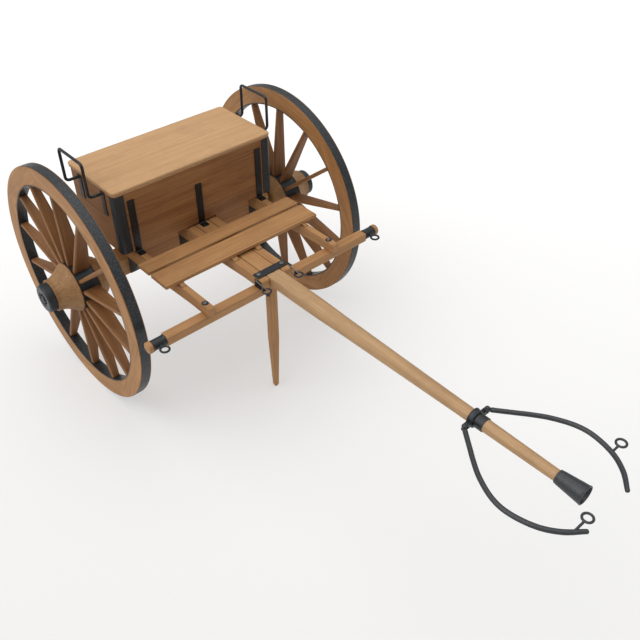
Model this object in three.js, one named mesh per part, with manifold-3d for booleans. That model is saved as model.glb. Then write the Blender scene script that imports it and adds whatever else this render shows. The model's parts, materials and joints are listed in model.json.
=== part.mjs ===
// Two-wheeled horse-drawn limber: ammunition-style chest on a wooden frame, footboards,
// splinter bar, pole with a folding prop, and a neck yoke at the pole's tip.
// Millimetres. +X forward along the pole, +Y to the driver's left, +Z up, wheels on Z = 0.
// Everything is laid out with X = 0 at the axle, and the finished model is then moved so that
// the middle of its bounding box stands over the origin.

import * as THREE from "three";
import { mergeVertices } from "three/addons/utils/BufferGeometryUtils.js";
import Module from "manifold-3d";

const wasm = await Module();
wasm.setup();

// ---------------------------------------------------------------- driving dimensions

const GAP = 0.3; // clearance between pieces that touch
const WHEEL_RADIUS = 724;
const TRACK = 1562; // between the middle planes of the two rims
const SPOKES = 14;

const RIM_WIDTH = 64;
const RIM_INNER_RADIUS = 613.7;
const TYRE_THICKNESS = 9;
const TYRE_WIDTH = 55;
const LIP_DROP = 1; // how far the wooden lips beside the tyre stay below its tread
const LINING_THICKNESS = 5;
const WHEEL_SEGMENTS = SPOKES * 4;

const SPOKE_THICKNESS = 24;
const SPOKE_ZONE_INNER = -83; // spoke feet along the axle, from the rim's middle plane, + is outward
const SPOKE_ZONE_OUTER = 30;
const SPOKE_RIM_DEPTH = 46;
const SPOKE_TIP_RADIUS = RIM_INNER_RADIUS - LINING_THICKNESS - GAP; // the tips stand on the lining
const SPOKE_RING_RADIUS = 103;
const NAVE_BAND_RADIUS = 148;
const NAVE_INNER_RADIUS = 151; // largest radius of the two wooden nave parts
const NAVE_SEGMENTS = SPOKES * 2;
const PIPE_BOX_RADIUS = 42;
const AXLE_ARM_RADIUS = 32;
const NAVE_INNER_END = -160;
const NAVE_OUTER_END = 158;
const CAP_FACE = 207;
const CAP_RADIUS = 84;
const CAP_HOLE_RADIUS = 33;
const CAP_RECESS = 14;

const AXLE_BED = { depth: 130, halfWidth: 608, bottom: 683, top: 804 };
const AXLETREE_SIDE = 60;

const FRAME_TOP = 897; // upper faces of the hounds, the fork and the pole root
const HOUND = { y: 442, width: 42, rear: -300, front: 888 };
const FORK = { inner: 50.3, outer: 104, rear: -150, front: 890 };
const NOSE_RADIUS = 14;
const TAPER = { rear: 172, front: 720 }; // where the beams' undersides climb to the splinter bar

const SPLINTER = { x: 840.5, z: 811, depth: 63, height: 54, halfWidth: 716 };
const SPLINTER_TENON_RADIUS = 26.5;
const SPLINTER_KNOB = { radius: 33, inner: 796, outer: 822 };
const SLEEVE = { radius: 30.5, inner: 716.5, outer: 795.5 };
const EYE_RING_RADIUS = 23.5; // centreline of the forged eyes
const EYE_WIRE_RADIUS = 5.8;
const SLEEVE_EYE = { x: 905, y: 756 };

const STRAP = { x: 831, width: 49, halfLength: 106, thickness: 7.5, boltY: 81, headRadius: 17 };
const HOOK = { y: 114, eyeX: 918, eyeZ: 870, eyeRadius: 9.5, wireRadius: 3.6 };
const HOOK_PLATE = { rear: 826, front: 884, bottom: 840, top: 889, thickness: 5, boltRadius: 7 };
const HOOK_RING = { radius: 23.5, wireRadius: 4.8 };

const KNEE = { length: 106, noseDepth: 47, noseSetback: 15, bottom: 683 };

const FOOTBOARD = { bottom: 912, thickness: 20, halfLength: 541, cornerRadius: 6 };
const FOOTBOARD_SPANS = { rear: [336, 445], front: [463, 616] };
const BATTEN = { rear: 345, top: 612, front: 637, toe: 3, forkY: 83.5, forkWidth: 34, houndWidth: 31 };

const CHEST = { rear: -302, front: 183, halfWidth: 538, bottom: 909, top: 1284, wall: 22 };
const CHEST_SKIRT = { bottom: 815, spans: [[-420.7, -170], [104.3, 355]] };
const CHEST_FLOOR = { bottom: 912, thickness: 18 };
const SKID = { width: 34, inset: 40 };
const LID = { overhang: 8, mouldingHeight: 10, boardHeight: 17.7, cornerRadius: 24 };
const CORNER_IRON = { frontLeg: 60, endLeg: 48, thickness: 3.5, bottom: 912, top: 1279 };
const STAY = { width: 42, thickness: 6, foot: 46, topOuter: 1236, topMiddle: 1166 };
const BAIL = { halfSpan: 126, top: 1470, curl: 1272, reach: 84, radius: 8.5, bend: 26 };
const BAIL_STRAP = { width: 40, thickness: 5, bottom: 1128, top: 1268 };
const HINGE = { pinOffsetX: 15, pinZ: 1287, pinRadius: 3, barrelRadius: 6, halfLength: 420, knuckles: 5 };
const HINGE_LEAF = { thickness: 2.5, drop: 60 };

const POLE_ROOT = { rear: -60, front: 880 };
const POLE_AXIS = { x: 850, z: 869.4, droop: THREE.MathUtils.degToRad(0.24) };
const POLE_TIP = 1890; // distances along the pole in front of the fork, measured from POLE_AXIS
// Sections of the pole, which starts square and turns round: how far along each one is, its half
// width, its half height and the radius of its corners.
const POLE_SECTIONS = [
  [0, 48, 26, 8], [40, 48.5, 28.4, 9], [120, 48, 32, 11], [250, 48, 38, 22], [400, 48.5, 46, 38],
  [600, 46, 46, 46], [1250, 35.5, 35.5, 35.5], [POLE_TIP, 27.5, 27.5, 27.5],
];
const POLE_CAP = { start: 1884, length: 138, rearRadius: 33, frontRadius: 49, wall: 5, recess: 20 };

const YOKE_COLLAR = { start: 1424, length: 32, radius: 46.5 };
const YOKE_LUG = { rear: 1433, front: 1456, reach: 94, bottom: -12.8, top: 14.1 };
const YOKE_MOUTH = { inner: 66, bottom: -5.4, top: 6.7 };
const YOKE_PIN = { along: 1444.5, out: 82, radius: 5 };
const STOP_COLLAR = { start: 1457, length: 46, radius: 36 };
const YOKE_ARM_RADIUS = 12;
const YOKE_ARM_Z = 864;
const YOKE_TONGUE = { radius: 11.5, width: 16, thickness: 11.4 };
// Bends of one arm in plan: X forward of the axle, Y out from the pole.
const YOKE_ARM_PATH = [
  [2310, 94.5], [2397, 163.5], [2441, 198.5], [2520, 253], [2625, 299],
  [2705, 307], [2825, 277], [2907, 223], [2972, 148],
];
const YOKE_EYES = { left: { x: 2816, foot: 280, centre: 358 }, right: { x: 2938, foot: -190, centre: -90 } };

const PROP = { x: 830.5, pivotZ: 738, side: 48, straightTo: 400, footSide: 27, tip: 15 };
const PROP_TONGUE = { thickness: 8, radius: 16, rootTop: 822 };
const PROP_BOLT = { radius: 8, headRadius: 12, headInner: 25, headOuter: 35 };

const PINTLE = { z: 744, plateSide: 104, plateThickness: 10, reach: 150, radius: 15, rise: 80 };

// ---------------------------------------------------------------- materials

const wood = () => new THREE.MeshStandardMaterial({ color: 0xb58a5c, roughness: 0.6, metalness: 0 });
const iron = () => new THREE.MeshStandardMaterial({ color: 0x30363c, roughness: 0.45, metalness: 0.8 });

// ---------------------------------------------------------------- solids

function toSolid(geometry) {
  const bare = geometry.index ? geometry.toNonIndexed() : geometry.clone();
  for (const name of Object.keys(bare.attributes)) {
    if (name !== "position") bare.deleteAttribute(name);
  }
  const merged = mergeVertices(bare, 1e-4);
  const mesh = new wasm.Mesh({
    numProp: 3,
    vertProperties: new Float32Array(merged.attributes.position.array),
    triVerts: new Uint32Array(merged.index.array),
  });
  return new wasm.Manifold(mesh);
}

function toGeometry(solid) {
  const mesh = solid.getMesh();
  const geometry = new THREE.BufferGeometry();
  geometry.setAttribute("position", new THREE.BufferAttribute(mesh.vertProperties, 3));
  geometry.setIndex(new THREE.BufferAttribute(mesh.triVerts, 1));
  geometry.computeVertexNormals();
  return geometry;
}

function join(geometries) {
  const solids = geometries.map(toSolid);
  return toGeometry(solids.reduce((sum, solid) => sum.add(solid)));
}

function cut(geometry, tools) {
  const solid = toSolid(geometry);
  return toGeometry(tools.map(toSolid).reduce((rest, tool) => rest.subtract(tool), solid));
}

// ---------------------------------------------------------------- plain shapes

function box(x0, x1, y0, y1, z0, z1) {
  const geometry = new THREE.BoxGeometry(x1 - x0, y1 - y0, z1 - z0);
  return geometry.translate((x0 + x1) / 2, (y0 + y1) / 2, (z0 + z1) / 2);
}

function rounded(x0, x1, y0, y1, radius) {
  const shape = new THREE.Shape();
  shape.moveTo(x0 + radius, y0);
  shape.lineTo(x1 - radius, y0);
  shape.absarc(x1 - radius, y0 + radius, radius, -Math.PI / 2, 0);
  shape.lineTo(x1, y1 - radius);
  shape.absarc(x1 - radius, y1 - radius, radius, 0, Math.PI / 2);
  shape.lineTo(x0 + radius, y1);
  shape.absarc(x0 + radius, y1 - radius, radius, Math.PI / 2, Math.PI);
  shape.lineTo(x0, y0 + radius);
  shape.absarc(x0 + radius, y0 + radius, radius, Math.PI, Math.PI * 1.5);
  return shape;
}

// A flat slab with its outline in plan, between two heights, with a chamfer on its edges.
function slab(shape, z0, z1, chamfer = 0, curveSegments = 4) {
  const geometry = new THREE.ExtrudeGeometry(shape, {
    depth: z1 - z0 - 2 * chamfer,
    bevelEnabled: chamfer > 0,
    bevelThickness: chamfer,
    bevelSize: chamfer,
    bevelOffset: -chamfer,
    bevelSegments: 1,
    curveSegments,
  });
  return geometry.translate(0, 0, z0 + chamfer);
}

// A board with its side outline drawn in X and Z, between two widths in Y.
function sideProfile(shape, y0, y1, curveSegments = 4) {
  const geometry = new THREE.ExtrudeGeometry(shape, { depth: y1 - y0, bevelEnabled: false, curveSegments });
  return geometry.rotateX(Math.PI / 2).translate(0, y1, 0);
}

// A solid of revolution about Y: the points are [radius, y] and start and end on the axis.
function turned(points, segments) {
  return new THREE.LatheGeometry(points.map(([r, y]) => new THREE.Vector2(r, y)), segments);
}

// A ring about Y: the outline closes on itself.
function ring(points, segments) {
  return turned([...points, points[0]], segments);
}

function tube(radius, bore, y0, y1, segments) {
  return ring([[bore, y0], [radius, y0], [radius, y1], [bore, y1]], segments);
}

function rod(radius, y0, y1, segments = 16) {
  return turned([[0, y0], [radius, y0], [radius, y1], [0, y1]], segments);
}

function along(axis, geometry) {
  return axis === "x" ? geometry.rotateZ(-Math.PI / 2) : geometry.rotateX(Math.PI / 2);
}

// A round bar whose centreline is a curve.
function bar(curve, radius, steps, sides = 6) {
  const section = new THREE.Shape().absarc(0, 0, radius, 0, Math.PI * 2);
  return new THREE.ExtrudeGeometry(section, { extrudePath: curve, steps, curveSegments: sides / 2 });
}

function straight(from, to, radius, sides = 6) {
  return bar(new THREE.LineCurve3(new THREE.Vector3(...from), new THREE.Vector3(...to)), radius, 1, sides);
}

// A path of straight stretches whose corners are rounded.
function bentPath(points, bend) {
  const path = new THREE.CurvePath();
  const corners = points.map((p) => new THREE.Vector3(...p));
  let start = corners[0];
  for (let i = 1; i < corners.length - 1; i += 1) {
    const before = corners[i].clone().lerp(corners[i - 1], bend / corners[i].distanceTo(corners[i - 1]));
    const after = corners[i].clone().lerp(corners[i + 1], bend / corners[i].distanceTo(corners[i + 1]));
    path.add(new THREE.LineCurve3(start, before));
    path.add(new THREE.QuadraticBezierCurve3(before, corners[i], after));
    start = after;
  }
  path.add(new THREE.LineCurve3(start, corners.at(-1)));
  return path;
}

function eye(x, y, z, radius = EYE_RING_RADIUS, wire = EYE_WIRE_RADIUS) {
  return new THREE.TorusGeometry(radius, wire, 6, 16).translate(x, y, z);
}

// ---------------------------------------------------------------- scene helpers

const limber = new THREE.Group();
const poleLine = new THREE.Group();
poleLine.position.set(POLE_AXIS.x, 0, POLE_AXIS.z);
poleLine.rotation.y = POLE_AXIS.droop;
limber.add(poleLine);
limber.updateMatrixWorld(true);

function place(name, geometry, material, parent = limber) {
  const mesh = new THREE.Mesh(geometry, material);
  mesh.name = name;
  parent.add(mesh);
  return mesh;
}

const SIDES = [["left", 1], ["right", -1]];

function span(side, inner, outer) {
  return side > 0 ? [inner, outer] : [-outer, -inner];
}

// ---------------------------------------------------------------- wheels
// Each wheel is drawn about Y with + towards its outer face, and turned round for the right side.

// A hoop of the rim: its flats lie at the stated radii, with one of them down on the ground.
function hoop(points) {
  const step = Math.PI / WHEEL_SEGMENTS;
  const corners = points.map(([radius, y]) => [radius / Math.cos(step), y]);
  return ring(corners, WHEEL_SEGMENTS).rotateY(step);
}

function hoopBand(radius, inner, width) {
  const half = width / 2;
  return hoop([[inner, -half], [radius, -half], [radius, half], [inner, half]]);
}

function tyre() {
  return hoopBand(WHEEL_RADIUS, WHEEL_RADIUS - TYRE_THICKNESS, TYRE_WIDTH);
}

function felloes() {
  const half = RIM_WIDTH / 2;
  const seat = TYRE_WIDTH / 2 + GAP;
  const lip = WHEEL_RADIUS - LIP_DROP;
  const bed = WHEEL_RADIUS - TYRE_THICKNESS - GAP;
  return hoop([
    [RIM_INNER_RADIUS, -half], [lip, -half], [lip, -seat], [bed, -seat],
    [bed, seat], [lip, seat], [lip, half], [RIM_INNER_RADIUS, half],
  ]);
}

function rimLining() {
  return hoopBand(RIM_INNER_RADIUS - GAP, RIM_INNER_RADIUS - LINING_THICKNESS, RIM_WIDTH - 2);
}

function spokeBlade(clearance, innerRadius, outerRadius) {
  const rimHalf = SPOKE_RIM_DEPTH / 2 + clearance;
  const blade = new THREE.Shape();
  blade.moveTo(innerRadius, SPOKE_ZONE_INNER - clearance);
  blade.lineTo(NAVE_BAND_RADIUS, SPOKE_ZONE_INNER + 4 - clearance);
  blade.lineTo(outerRadius, -rimHalf);
  blade.lineTo(outerRadius, rimHalf);
  blade.lineTo(NAVE_BAND_RADIUS, SPOKE_ZONE_OUTER - 4 + clearance);
  blade.lineTo(innerRadius, SPOKE_ZONE_OUTER + clearance);
  const thickness = SPOKE_THICKNESS + 2 * clearance;
  const geometry = new THREE.ExtrudeGeometry(blade, { depth: thickness, bevelEnabled: false });
  return geometry.translate(0, 0, -thickness / 2);
}

function spokeFan(make) {
  return Array.from({ length: SPOKES }, (_, i) => make().rotateY(((i + 0.5) * 2 * Math.PI) / SPOKES));
}

function spokes() {
  const hub = tube(
    SPOKE_RING_RADIUS, PIPE_BOX_RADIUS + GAP, SPOKE_ZONE_INNER, SPOKE_ZONE_OUTER, NAVE_SEGMENTS,
  );
  return join([hub, ...spokeFan(() => spokeBlade(0, SPOKE_RING_RADIUS - 8, SPOKE_TIP_RADIUS))]);
}

function naveBand() {
  const band = tube(
    NAVE_BAND_RADIUS, SPOKE_RING_RADIUS + GAP, SPOKE_ZONE_INNER, SPOKE_ZONE_OUTER, NAVE_SEGMENTS,
  );
  return cut(band, spokeFan(() => spokeBlade(2 * GAP, SPOKE_RING_RADIUS - 10, RIM_INNER_RADIUS)));
}

function naveInner() {
  const bore = PIPE_BOX_RADIUS + GAP;
  const face = SPOKE_ZONE_INNER - 3 * GAP;
  const rim = NAVE_INNER_RADIUS;
  return ring([
    [bore, NAVE_INNER_END], [98, NAVE_INNER_END], [108, NAVE_INNER_END + 6],
    [126, -130], [140, -108], [rim - 2, face - 8], [rim, face - 3], [rim - 2, face], [bore, face],
  ], NAVE_SEGMENTS);
}

function naveOuter() {
  const bore = PIPE_BOX_RADIUS + GAP;
  const face = SPOKE_ZONE_OUTER + 3 * GAP;
  const rim = NAVE_INNER_RADIUS;
  return ring([
    [bore, face], [rim - 2, face], [rim, face + 3], [rim - 3, face + 10], [131, 62], [112, 95],
    [101, 118], [95, 146], [97, NAVE_OUTER_END], [bore, NAVE_OUTER_END],
  ], NAVE_SEGMENTS);
}

function naveCap() {
  const bore = AXLE_ARM_RADIUS + 2 * GAP;
  const back = NAVE_OUTER_END + GAP;
  return ring([
    [bore, NAVE_INNER_END], [PIPE_BOX_RADIUS, NAVE_INNER_END], [PIPE_BOX_RADIUS, back],
    [CAP_RADIUS, back], [CAP_RADIUS, CAP_FACE - 14], [CAP_RADIUS - 5, CAP_FACE - 4],
    [CAP_RADIUS - 12, CAP_FACE], [CAP_HOLE_RADIUS, CAP_FACE], [CAP_HOLE_RADIUS, CAP_FACE - CAP_RECESS],
    [bore, CAP_FACE - CAP_RECESS],
  ], NAVE_SEGMENTS);
}

function axleNut() {
  const back = CAP_FACE - CAP_RECESS + GAP;
  const face = CAP_FACE + 4;
  return turned([[0, back], [27, back], [27, face - 6], [20, face], [0, face]], 6);
}

const WHEEL_PIECES = [
  ["tyre", tyre, iron], ["felloes", felloes, wood], ["rim_lining", rimLining, iron],
  ["spokes", spokes, wood], ["nave_inner", naveInner, wood], ["nave_band", naveBand, iron],
  ["nave_outer", naveOuter, wood], ["nave_cap", naveCap, iron],
];

function addWheel(name, side) {
  const wheel = new THREE.Group();
  wheel.position.set(0, (side * TRACK) / 2, WHEEL_RADIUS);
  wheel.rotation.z = side > 0 ? 0 : Math.PI;
  limber.add(wheel);
  for (const [piece, make, material] of WHEEL_PIECES) {
    place(`${piece}_${name}`, make(), material(), wheel);
  }
  place(`axle_nut_${name}`, axleNut(), iron(), wheel);
}

// ---------------------------------------------------------------- axle

function axletree() {
  const end = TRACK / 2 + CAP_FACE - CAP_RECESS;
  const half = AXLETREE_SIDE / 2;
  const middle = box(-half, half, -AXLE_BED.halfWidth, AXLE_BED.halfWidth, -half, half);
  const arms = rod(AXLE_ARM_RADIUS, -end, end, 20);
  return join([middle, arms]).translate(0, 0, WHEEL_RADIUS);
}

function axleBed() {
  const { depth, halfWidth, bottom, top } = AXLE_BED;
  const bed = box(-depth / 2, depth / 2, -halfWidth, halfWidth, bottom, top);
  const half = AXLE_ARM_RADIUS + GAP;
  const groove = box(-half, half, -TRACK, TRACK, bottom - 1, WHEEL_RADIUS + half);
  return cut(bed, [groove]);
}

// ---------------------------------------------------------------- frame

// Side outline of a frame beam: deep over the axle, tapered up to lie on the splinter bar.
function beamOutline(rear, front) {
  const bottom = AXLE_BED.top + GAP;
  const seat = SPLINTER.z + SPLINTER.height / 2 + GAP;
  const shape = new THREE.Shape();
  shape.moveTo(rear, bottom + 20);
  shape.lineTo(rear + 20, bottom);
  shape.lineTo(TAPER.rear, bottom);
  shape.lineTo(TAPER.front, seat);
  shape.lineTo(front, seat);
  shape.lineTo(front, FRAME_TOP - NOSE_RADIUS);
  shape.absarc(front - NOSE_RADIUS, FRAME_TOP - NOSE_RADIUS, NOSE_RADIUS, 0, Math.PI / 2);
  shape.lineTo(rear, FRAME_TOP);
  return shape;
}

function addFrame() {
  for (const [name, side] of SIDES) {
    const houndSpan = span(side, HOUND.y - HOUND.width / 2, HOUND.y + HOUND.width / 2);
    place(`hound_${name}`, sideProfile(beamOutline(HOUND.rear, HOUND.front), ...houndSpan), wood());
    const forkSpan = span(side, FORK.inner, FORK.outer);
    const fork = sideProfile(beamOutline(FORK.rear, FORK.front), ...forkSpan);
    place(`fork_${name}`, join([fork, batten(side * BATTEN.forkY, BATTEN.forkWidth, -1)]), wood());
    place(`knee_${name}`, knee(...houndSpan), iron());
  }
  place("knee_fork", knee(-FORK.outer, FORK.outer), iron());
}

// Strip along a beam's top that carries the footboards, sloped down in front of them.
function batten(middle, width, rise) {
  const { rear, top, front, toe } = BATTEN;
  const shape = new THREE.Shape();
  shape.moveTo(rear, FRAME_TOP + rise);
  shape.lineTo(front, FRAME_TOP + rise);
  shape.lineTo(front, FRAME_TOP + toe);
  shape.lineTo(top, FOOTBOARD.bottom - GAP);
  shape.lineTo(rear, FOOTBOARD.bottom - GAP);
  return sideProfile(shape, middle - width / 2, middle + width / 2);
}

// Forged bracket in the corner between the axle bed's front and the beam above it.
function knee(y0, y1) {
  const back = AXLE_BED.depth / 2 + GAP;
  const shape = new THREE.Shape();
  shape.moveTo(back, KNEE.bottom);
  shape.lineTo(back + KNEE.length - KNEE.noseSetback, AXLE_BED.top - KNEE.noseDepth);
  shape.lineTo(back + KNEE.length, AXLE_BED.top);
  shape.lineTo(back, AXLE_BED.top);
  return sideProfile(shape, y0, y1);
}

function splinterBar() {
  const { x, z, depth, height, halfWidth } = SPLINTER;
  const middle = box(x - depth / 2, x + depth / 2, -halfWidth, halfWidth, z - height / 2, z + height / 2);
  const knob = SPLINTER_KNOB;
  const half = [
    [SPLINTER_TENON_RADIUS, knob.inner], [knob.radius - 4, knob.inner], [knob.radius, knob.inner + 4],
    [knob.radius, knob.outer - 5], [knob.radius - 5, knob.outer], [0, knob.outer],
  ];
  const mirrored = half.map(([r, y]) => [r, -y]).reverse();
  const ends = turned([...mirrored, ...half], 16).translate(x, 0, z);
  const halfTongue = PROP_TONGUE.thickness / 2 + GAP;
  const halfRoot = PROP_TONGUE.radius + GAP;
  const mortise = box(
    PROP.x - halfRoot, PROP.x + halfRoot, -halfTongue, halfTongue, z - height, PROP_TONGUE.rootTop + GAP,
  );
  return cut(join([middle, ends]), [mortise]);
}

function traceSleeve(side) {
  const { radius, inner, outer } = SLEEVE;
  const { x, z } = SPLINTER;
  const body = tube(radius, SPLINTER_TENON_RADIUS + GAP, ...span(side, inner, outer), 16);
  const y = side * SLEEVE_EYE.y;
  const neck = straight([x + radius - 2, y, z], [SLEEVE_EYE.x - EYE_RING_RADIUS, y, z], EYE_WIRE_RADIUS);
  return join([body.translate(x, 0, z), neck, eye(SLEEVE_EYE.x, y, z)]);
}

function forkStrap() {
  const { x, width, halfLength, thickness, boltY, headRadius } = STRAP;
  const bottom = FRAME_TOP + GAP;
  const top = bottom + thickness;
  const plate = box(x - width / 2, x + width / 2, -halfLength, halfLength, bottom, top);
  const heads = [boltY, -boltY].map((y) => {
    const head = turned([[0, -2], [headRadius, -2], [headRadius, 3], [headRadius - 5, 8], [0, 9]], 12);
    return along("z", head).translate(x, y, top);
  });
  return join([plate, ...heads]);
}

// Bolted plate on the fork's side with a rod that runs forward over an upright eye.
function traceHook(side) {
  const { y, eyeX, eyeZ, eyeRadius, wireRadius } = HOOK;
  const { rear, front, bottom, top, thickness, boltRadius } = HOOK_PLATE;
  const face = FORK.outer + GAP;
  const plate = box(rear, front, ...span(side, face, face + thickness), bottom, top);
  const bolts = [bottom + 9, bottom + 25].map((z) => {
    const head = rod(boltRadius, ...span(side, face + 1, face + thickness + 4), 8);
    return head.translate(rear + 10, 0, z);
  });
  const heel = [rear + 12, side * (face + thickness - 2), top - 3];
  const elbow = [rear + 20, side * y, top - 2];
  const beak = [eyeX + 2 * eyeRadius, side * y, eyeZ + eyeRadius - 2];
  const shank = bar(bentPath([heel, elbow, beak], 4), wireRadius, 6);
  const loop = new THREE.TorusGeometry(eyeRadius, wireRadius, 6, 12).rotateX(Math.PI / 2);
  return join([plate, ...bolts, shank, loop.translate(eyeX, side * y, eyeZ)]);
}

function hookRing(side) {
  const { radius, wireRadius } = HOOK_RING;
  return eye(HOOK.eyeX + radius, side * HOOK.y, HOOK.eyeZ, radius, wireRadius);
}

function addSplinterBar() {
  place("splinter_bar", splinterBar(), wood());
  place("fork_strap", forkStrap(), iron());
  for (const [name, side] of SIDES) {
    place(`trace_sleeve_${name}`, traceSleeve(side), iron());
    place(`trace_hook_${name}`, traceHook(side), iron());
    place(`hook_ring_${name}`, hookRing(side), iron());
  }
}

function addFootboards() {
  const { bottom, thickness, halfLength, cornerRadius } = FOOTBOARD;
  for (const [name, [rear, front]] of Object.entries(FOOTBOARD_SPANS)) {
    const outline = rounded(rear, front, -halfLength, halfLength, cornerRadius);
    place(`footboard_${name}`, slab(outline, bottom, bottom + thickness, 2, 2), wood());
  }
  for (const [name, side] of SIDES) {
    place(`batten_${name}`, batten(side * HOUND.y, BATTEN.houndWidth, GAP), wood());
  }
}

// ---------------------------------------------------------------- chest

// Four walls, with the front one carried down between the frame's beams.
function chestWalls() {
  const { rear, front, halfWidth, bottom, top, wall } = CHEST;
  const outline = rounded(rear, front, -halfWidth, halfWidth, 3);
  const inside = new THREE.Path();
  inside.moveTo(rear + wall, -halfWidth + wall);
  inside.lineTo(rear + wall, halfWidth - wall);
  inside.lineTo(front - wall, halfWidth - wall);
  inside.lineTo(front - wall, -halfWidth + wall);
  outline.holes.push(inside);
  const skirts = CHEST_SKIRT.spans.map(
    ([right, left]) => box(front - wall, front, right, left, CHEST_SKIRT.bottom, bottom + 1),
  );
  return join([slab(outline, bottom, top, 0, 1), ...skirts]);
}

function chestFloor() {
  const inset = CHEST.wall + GAP;
  const y = CHEST.halfWidth - inset;
  const { bottom, thickness } = CHEST_FLOOR;
  const board = box(CHEST.rear + inset, CHEST.front - inset, -y, y, bottom, bottom + thickness);
  const skids = [-HOUND.y, -FORK.outer + SKID.width, FORK.outer - SKID.width, HOUND.y].map((middle) => box(
    CHEST.rear + SKID.inset, CHEST.front - SKID.inset, middle - SKID.width / 2, middle + SKID.width / 2,
    FRAME_TOP + GAP, bottom + 1,
  ));
  return join([board, ...skids]);
}

function chestLid() {
  const { overhang, mouldingHeight, boardHeight, cornerRadius } = LID;
  const outline = (by, radius) => rounded(
    CHEST.rear - by, CHEST.front + by, -CHEST.halfWidth - by, CHEST.halfWidth + by, radius,
  );
  const seam = CHEST.top + GAP + mouldingHeight;
  const moulding = slab(outline(overhang - 3, cornerRadius - 6), CHEST.top + GAP, seam + 1);
  const board = slab(outline(overhang, cornerRadius), seam, seam + boardHeight, 3);
  return join([moulding, board]);
}

function cornerIron(side) {
  const { frontLeg, endLeg, thickness, bottom, top } = CORNER_IRON;
  const x = CHEST.front + GAP;
  const y = CHEST.halfWidth + GAP;
  const shape = new THREE.Shape();
  shape.moveTo(x - endLeg, side * y);
  shape.lineTo(x, side * y);
  shape.lineTo(x, side * (y - frontLeg));
  shape.lineTo(x + thickness, side * (y - frontLeg));
  shape.lineTo(x + thickness, side * (y + thickness - 2));
  shape.lineTo(x + thickness - 2, side * (y + thickness));
  shape.lineTo(x - endLeg, side * (y + thickness));
  return slab(shape, bottom, top);
}

// Upright strap on the chest's front, turned forward into a foot on the beam below.
function stay(middle, top) {
  const { width, thickness, foot } = STAY;
  const x = CHEST.front + GAP;
  const z = FRAME_TOP + GAP;
  const shape = new THREE.Shape();
  shape.moveTo(x, z);
  shape.lineTo(x + foot, z);
  shape.lineTo(x + foot, z + thickness);
  shape.lineTo(x + thickness + 4, z + thickness);
  shape.lineTo(x + thickness, z + thickness + 4);
  shape.lineTo(x + thickness, top);
  shape.lineTo(x, top);
  return sideProfile(shape, middle - width / 2, middle + width / 2);
}

// Handle above the end of the lid: a square loop of round bar whose ends curl in to two straps.
function bail(side) {
  const { halfSpan, top, curl, reach, radius, bend } = BAIL;
  const middle = (CHEST.rear + CHEST.front) / 2;
  const face = CHEST.halfWidth + GAP;
  const rootY = side * (face + BAIL_STRAP.thickness - 1);
  const outY = side * (face + reach);
  const path = bentPath([
    [middle - halfSpan, rootY, curl - 6], [middle - halfSpan, outY, curl - 6], [middle - halfSpan, outY, top],
    [middle + halfSpan, outY, top], [middle + halfSpan, outY, curl - 6], [middle + halfSpan, rootY, curl - 6],
  ], bend);
  const loop = bar(path, radius, 36);
  const straps = [-halfSpan, halfSpan].map((offset) => {
    const half = BAIL_STRAP.width / 2;
    const [y0, y1] = span(side, face, face + BAIL_STRAP.thickness);
    return box(middle + offset - half, middle + offset + half, y0, y1, BAIL_STRAP.bottom, BAIL_STRAP.top + 8);
  });
  return join([loop, ...straps]);
}

// Rear hinge: two leaves whose knuckles share one pin.
function hingeKnuckles(start) {
  const { halfLength, knuckles, barrelRadius, pinRadius } = HINGE;
  const pitch = (2 * halfLength) / knuckles;
  const rings = [];
  for (let i = start; i < knuckles; i += 2) {
    const from = -halfLength + i * pitch;
    const bore = start === 0 ? pinRadius - 1 : pinRadius + GAP;
    rings.push(tube(barrelRadius, bore, from + GAP, from + pitch - GAP, 10));
  }
  return rings.map((g) => g.translate(CHEST.rear - HINGE.pinOffsetX, 0, HINGE.pinZ));
}

function fixedHinge() {
  const { halfLength, pinOffsetX, pinZ, pinRadius, barrelRadius, knuckles } = HINGE;
  const face = CHEST.rear - GAP;
  const leafFront = face - HINGE_LEAF.thickness;
  const pinX = CHEST.rear - pinOffsetX;
  const leafTop = pinZ - barrelRadius - 4;
  const leaf = box(leafFront, face, -halfLength, halfLength, leafTop - HINGE_LEAF.drop, leafTop);
  const pitch = (2 * halfLength) / knuckles;
  const webs = [];
  for (let i = 0; i < knuckles; i += 2) {
    const from = -halfLength + i * pitch;
    webs.push(box(pinX - 2, face, from + GAP, from + pitch - GAP, leafTop - 3, leafTop));
    webs.push(box(pinX - 2, pinX + 1, from + GAP, from + pitch - GAP, leafTop - 3, pinZ - pinRadius - 1));
  }
  const pin = rod(pinRadius, -halfLength, halfLength, 10).translate(pinX, 0, pinZ);
  return join([leaf, pin, ...webs, ...hingeKnuckles(0)]);
}

function movingHinge() {
  const { halfLength, pinOffsetX, pinZ, pinRadius, knuckles } = HINGE;
  const pinX = CHEST.rear - pinOffsetX;
  const lidEdge = CHEST.rear - LID.overhang - GAP;
  const leafTop = CHEST.top + LID.mouldingHeight + LID.boardHeight - 3;
  const leaf = box(lidEdge - HINGE_LEAF.thickness, lidEdge, -halfLength, halfLength, pinZ + 8, leafTop);
  const pitch = (2 * halfLength) / knuckles;
  const webs = [];
  for (let i = 1; i < knuckles; i += 2) {
    const from = -halfLength + i * pitch;
    webs.push(box(pinX - 2, lidEdge, from + GAP, from + pitch - GAP, pinZ + 8, pinZ + 10));
    webs.push(box(pinX - 2, pinX + 1, from + GAP, from + pitch - GAP, pinZ + pinRadius + 1, pinZ + 9));
  }
  return join([leaf, ...webs, ...hingeKnuckles(1)]);
}

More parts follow.
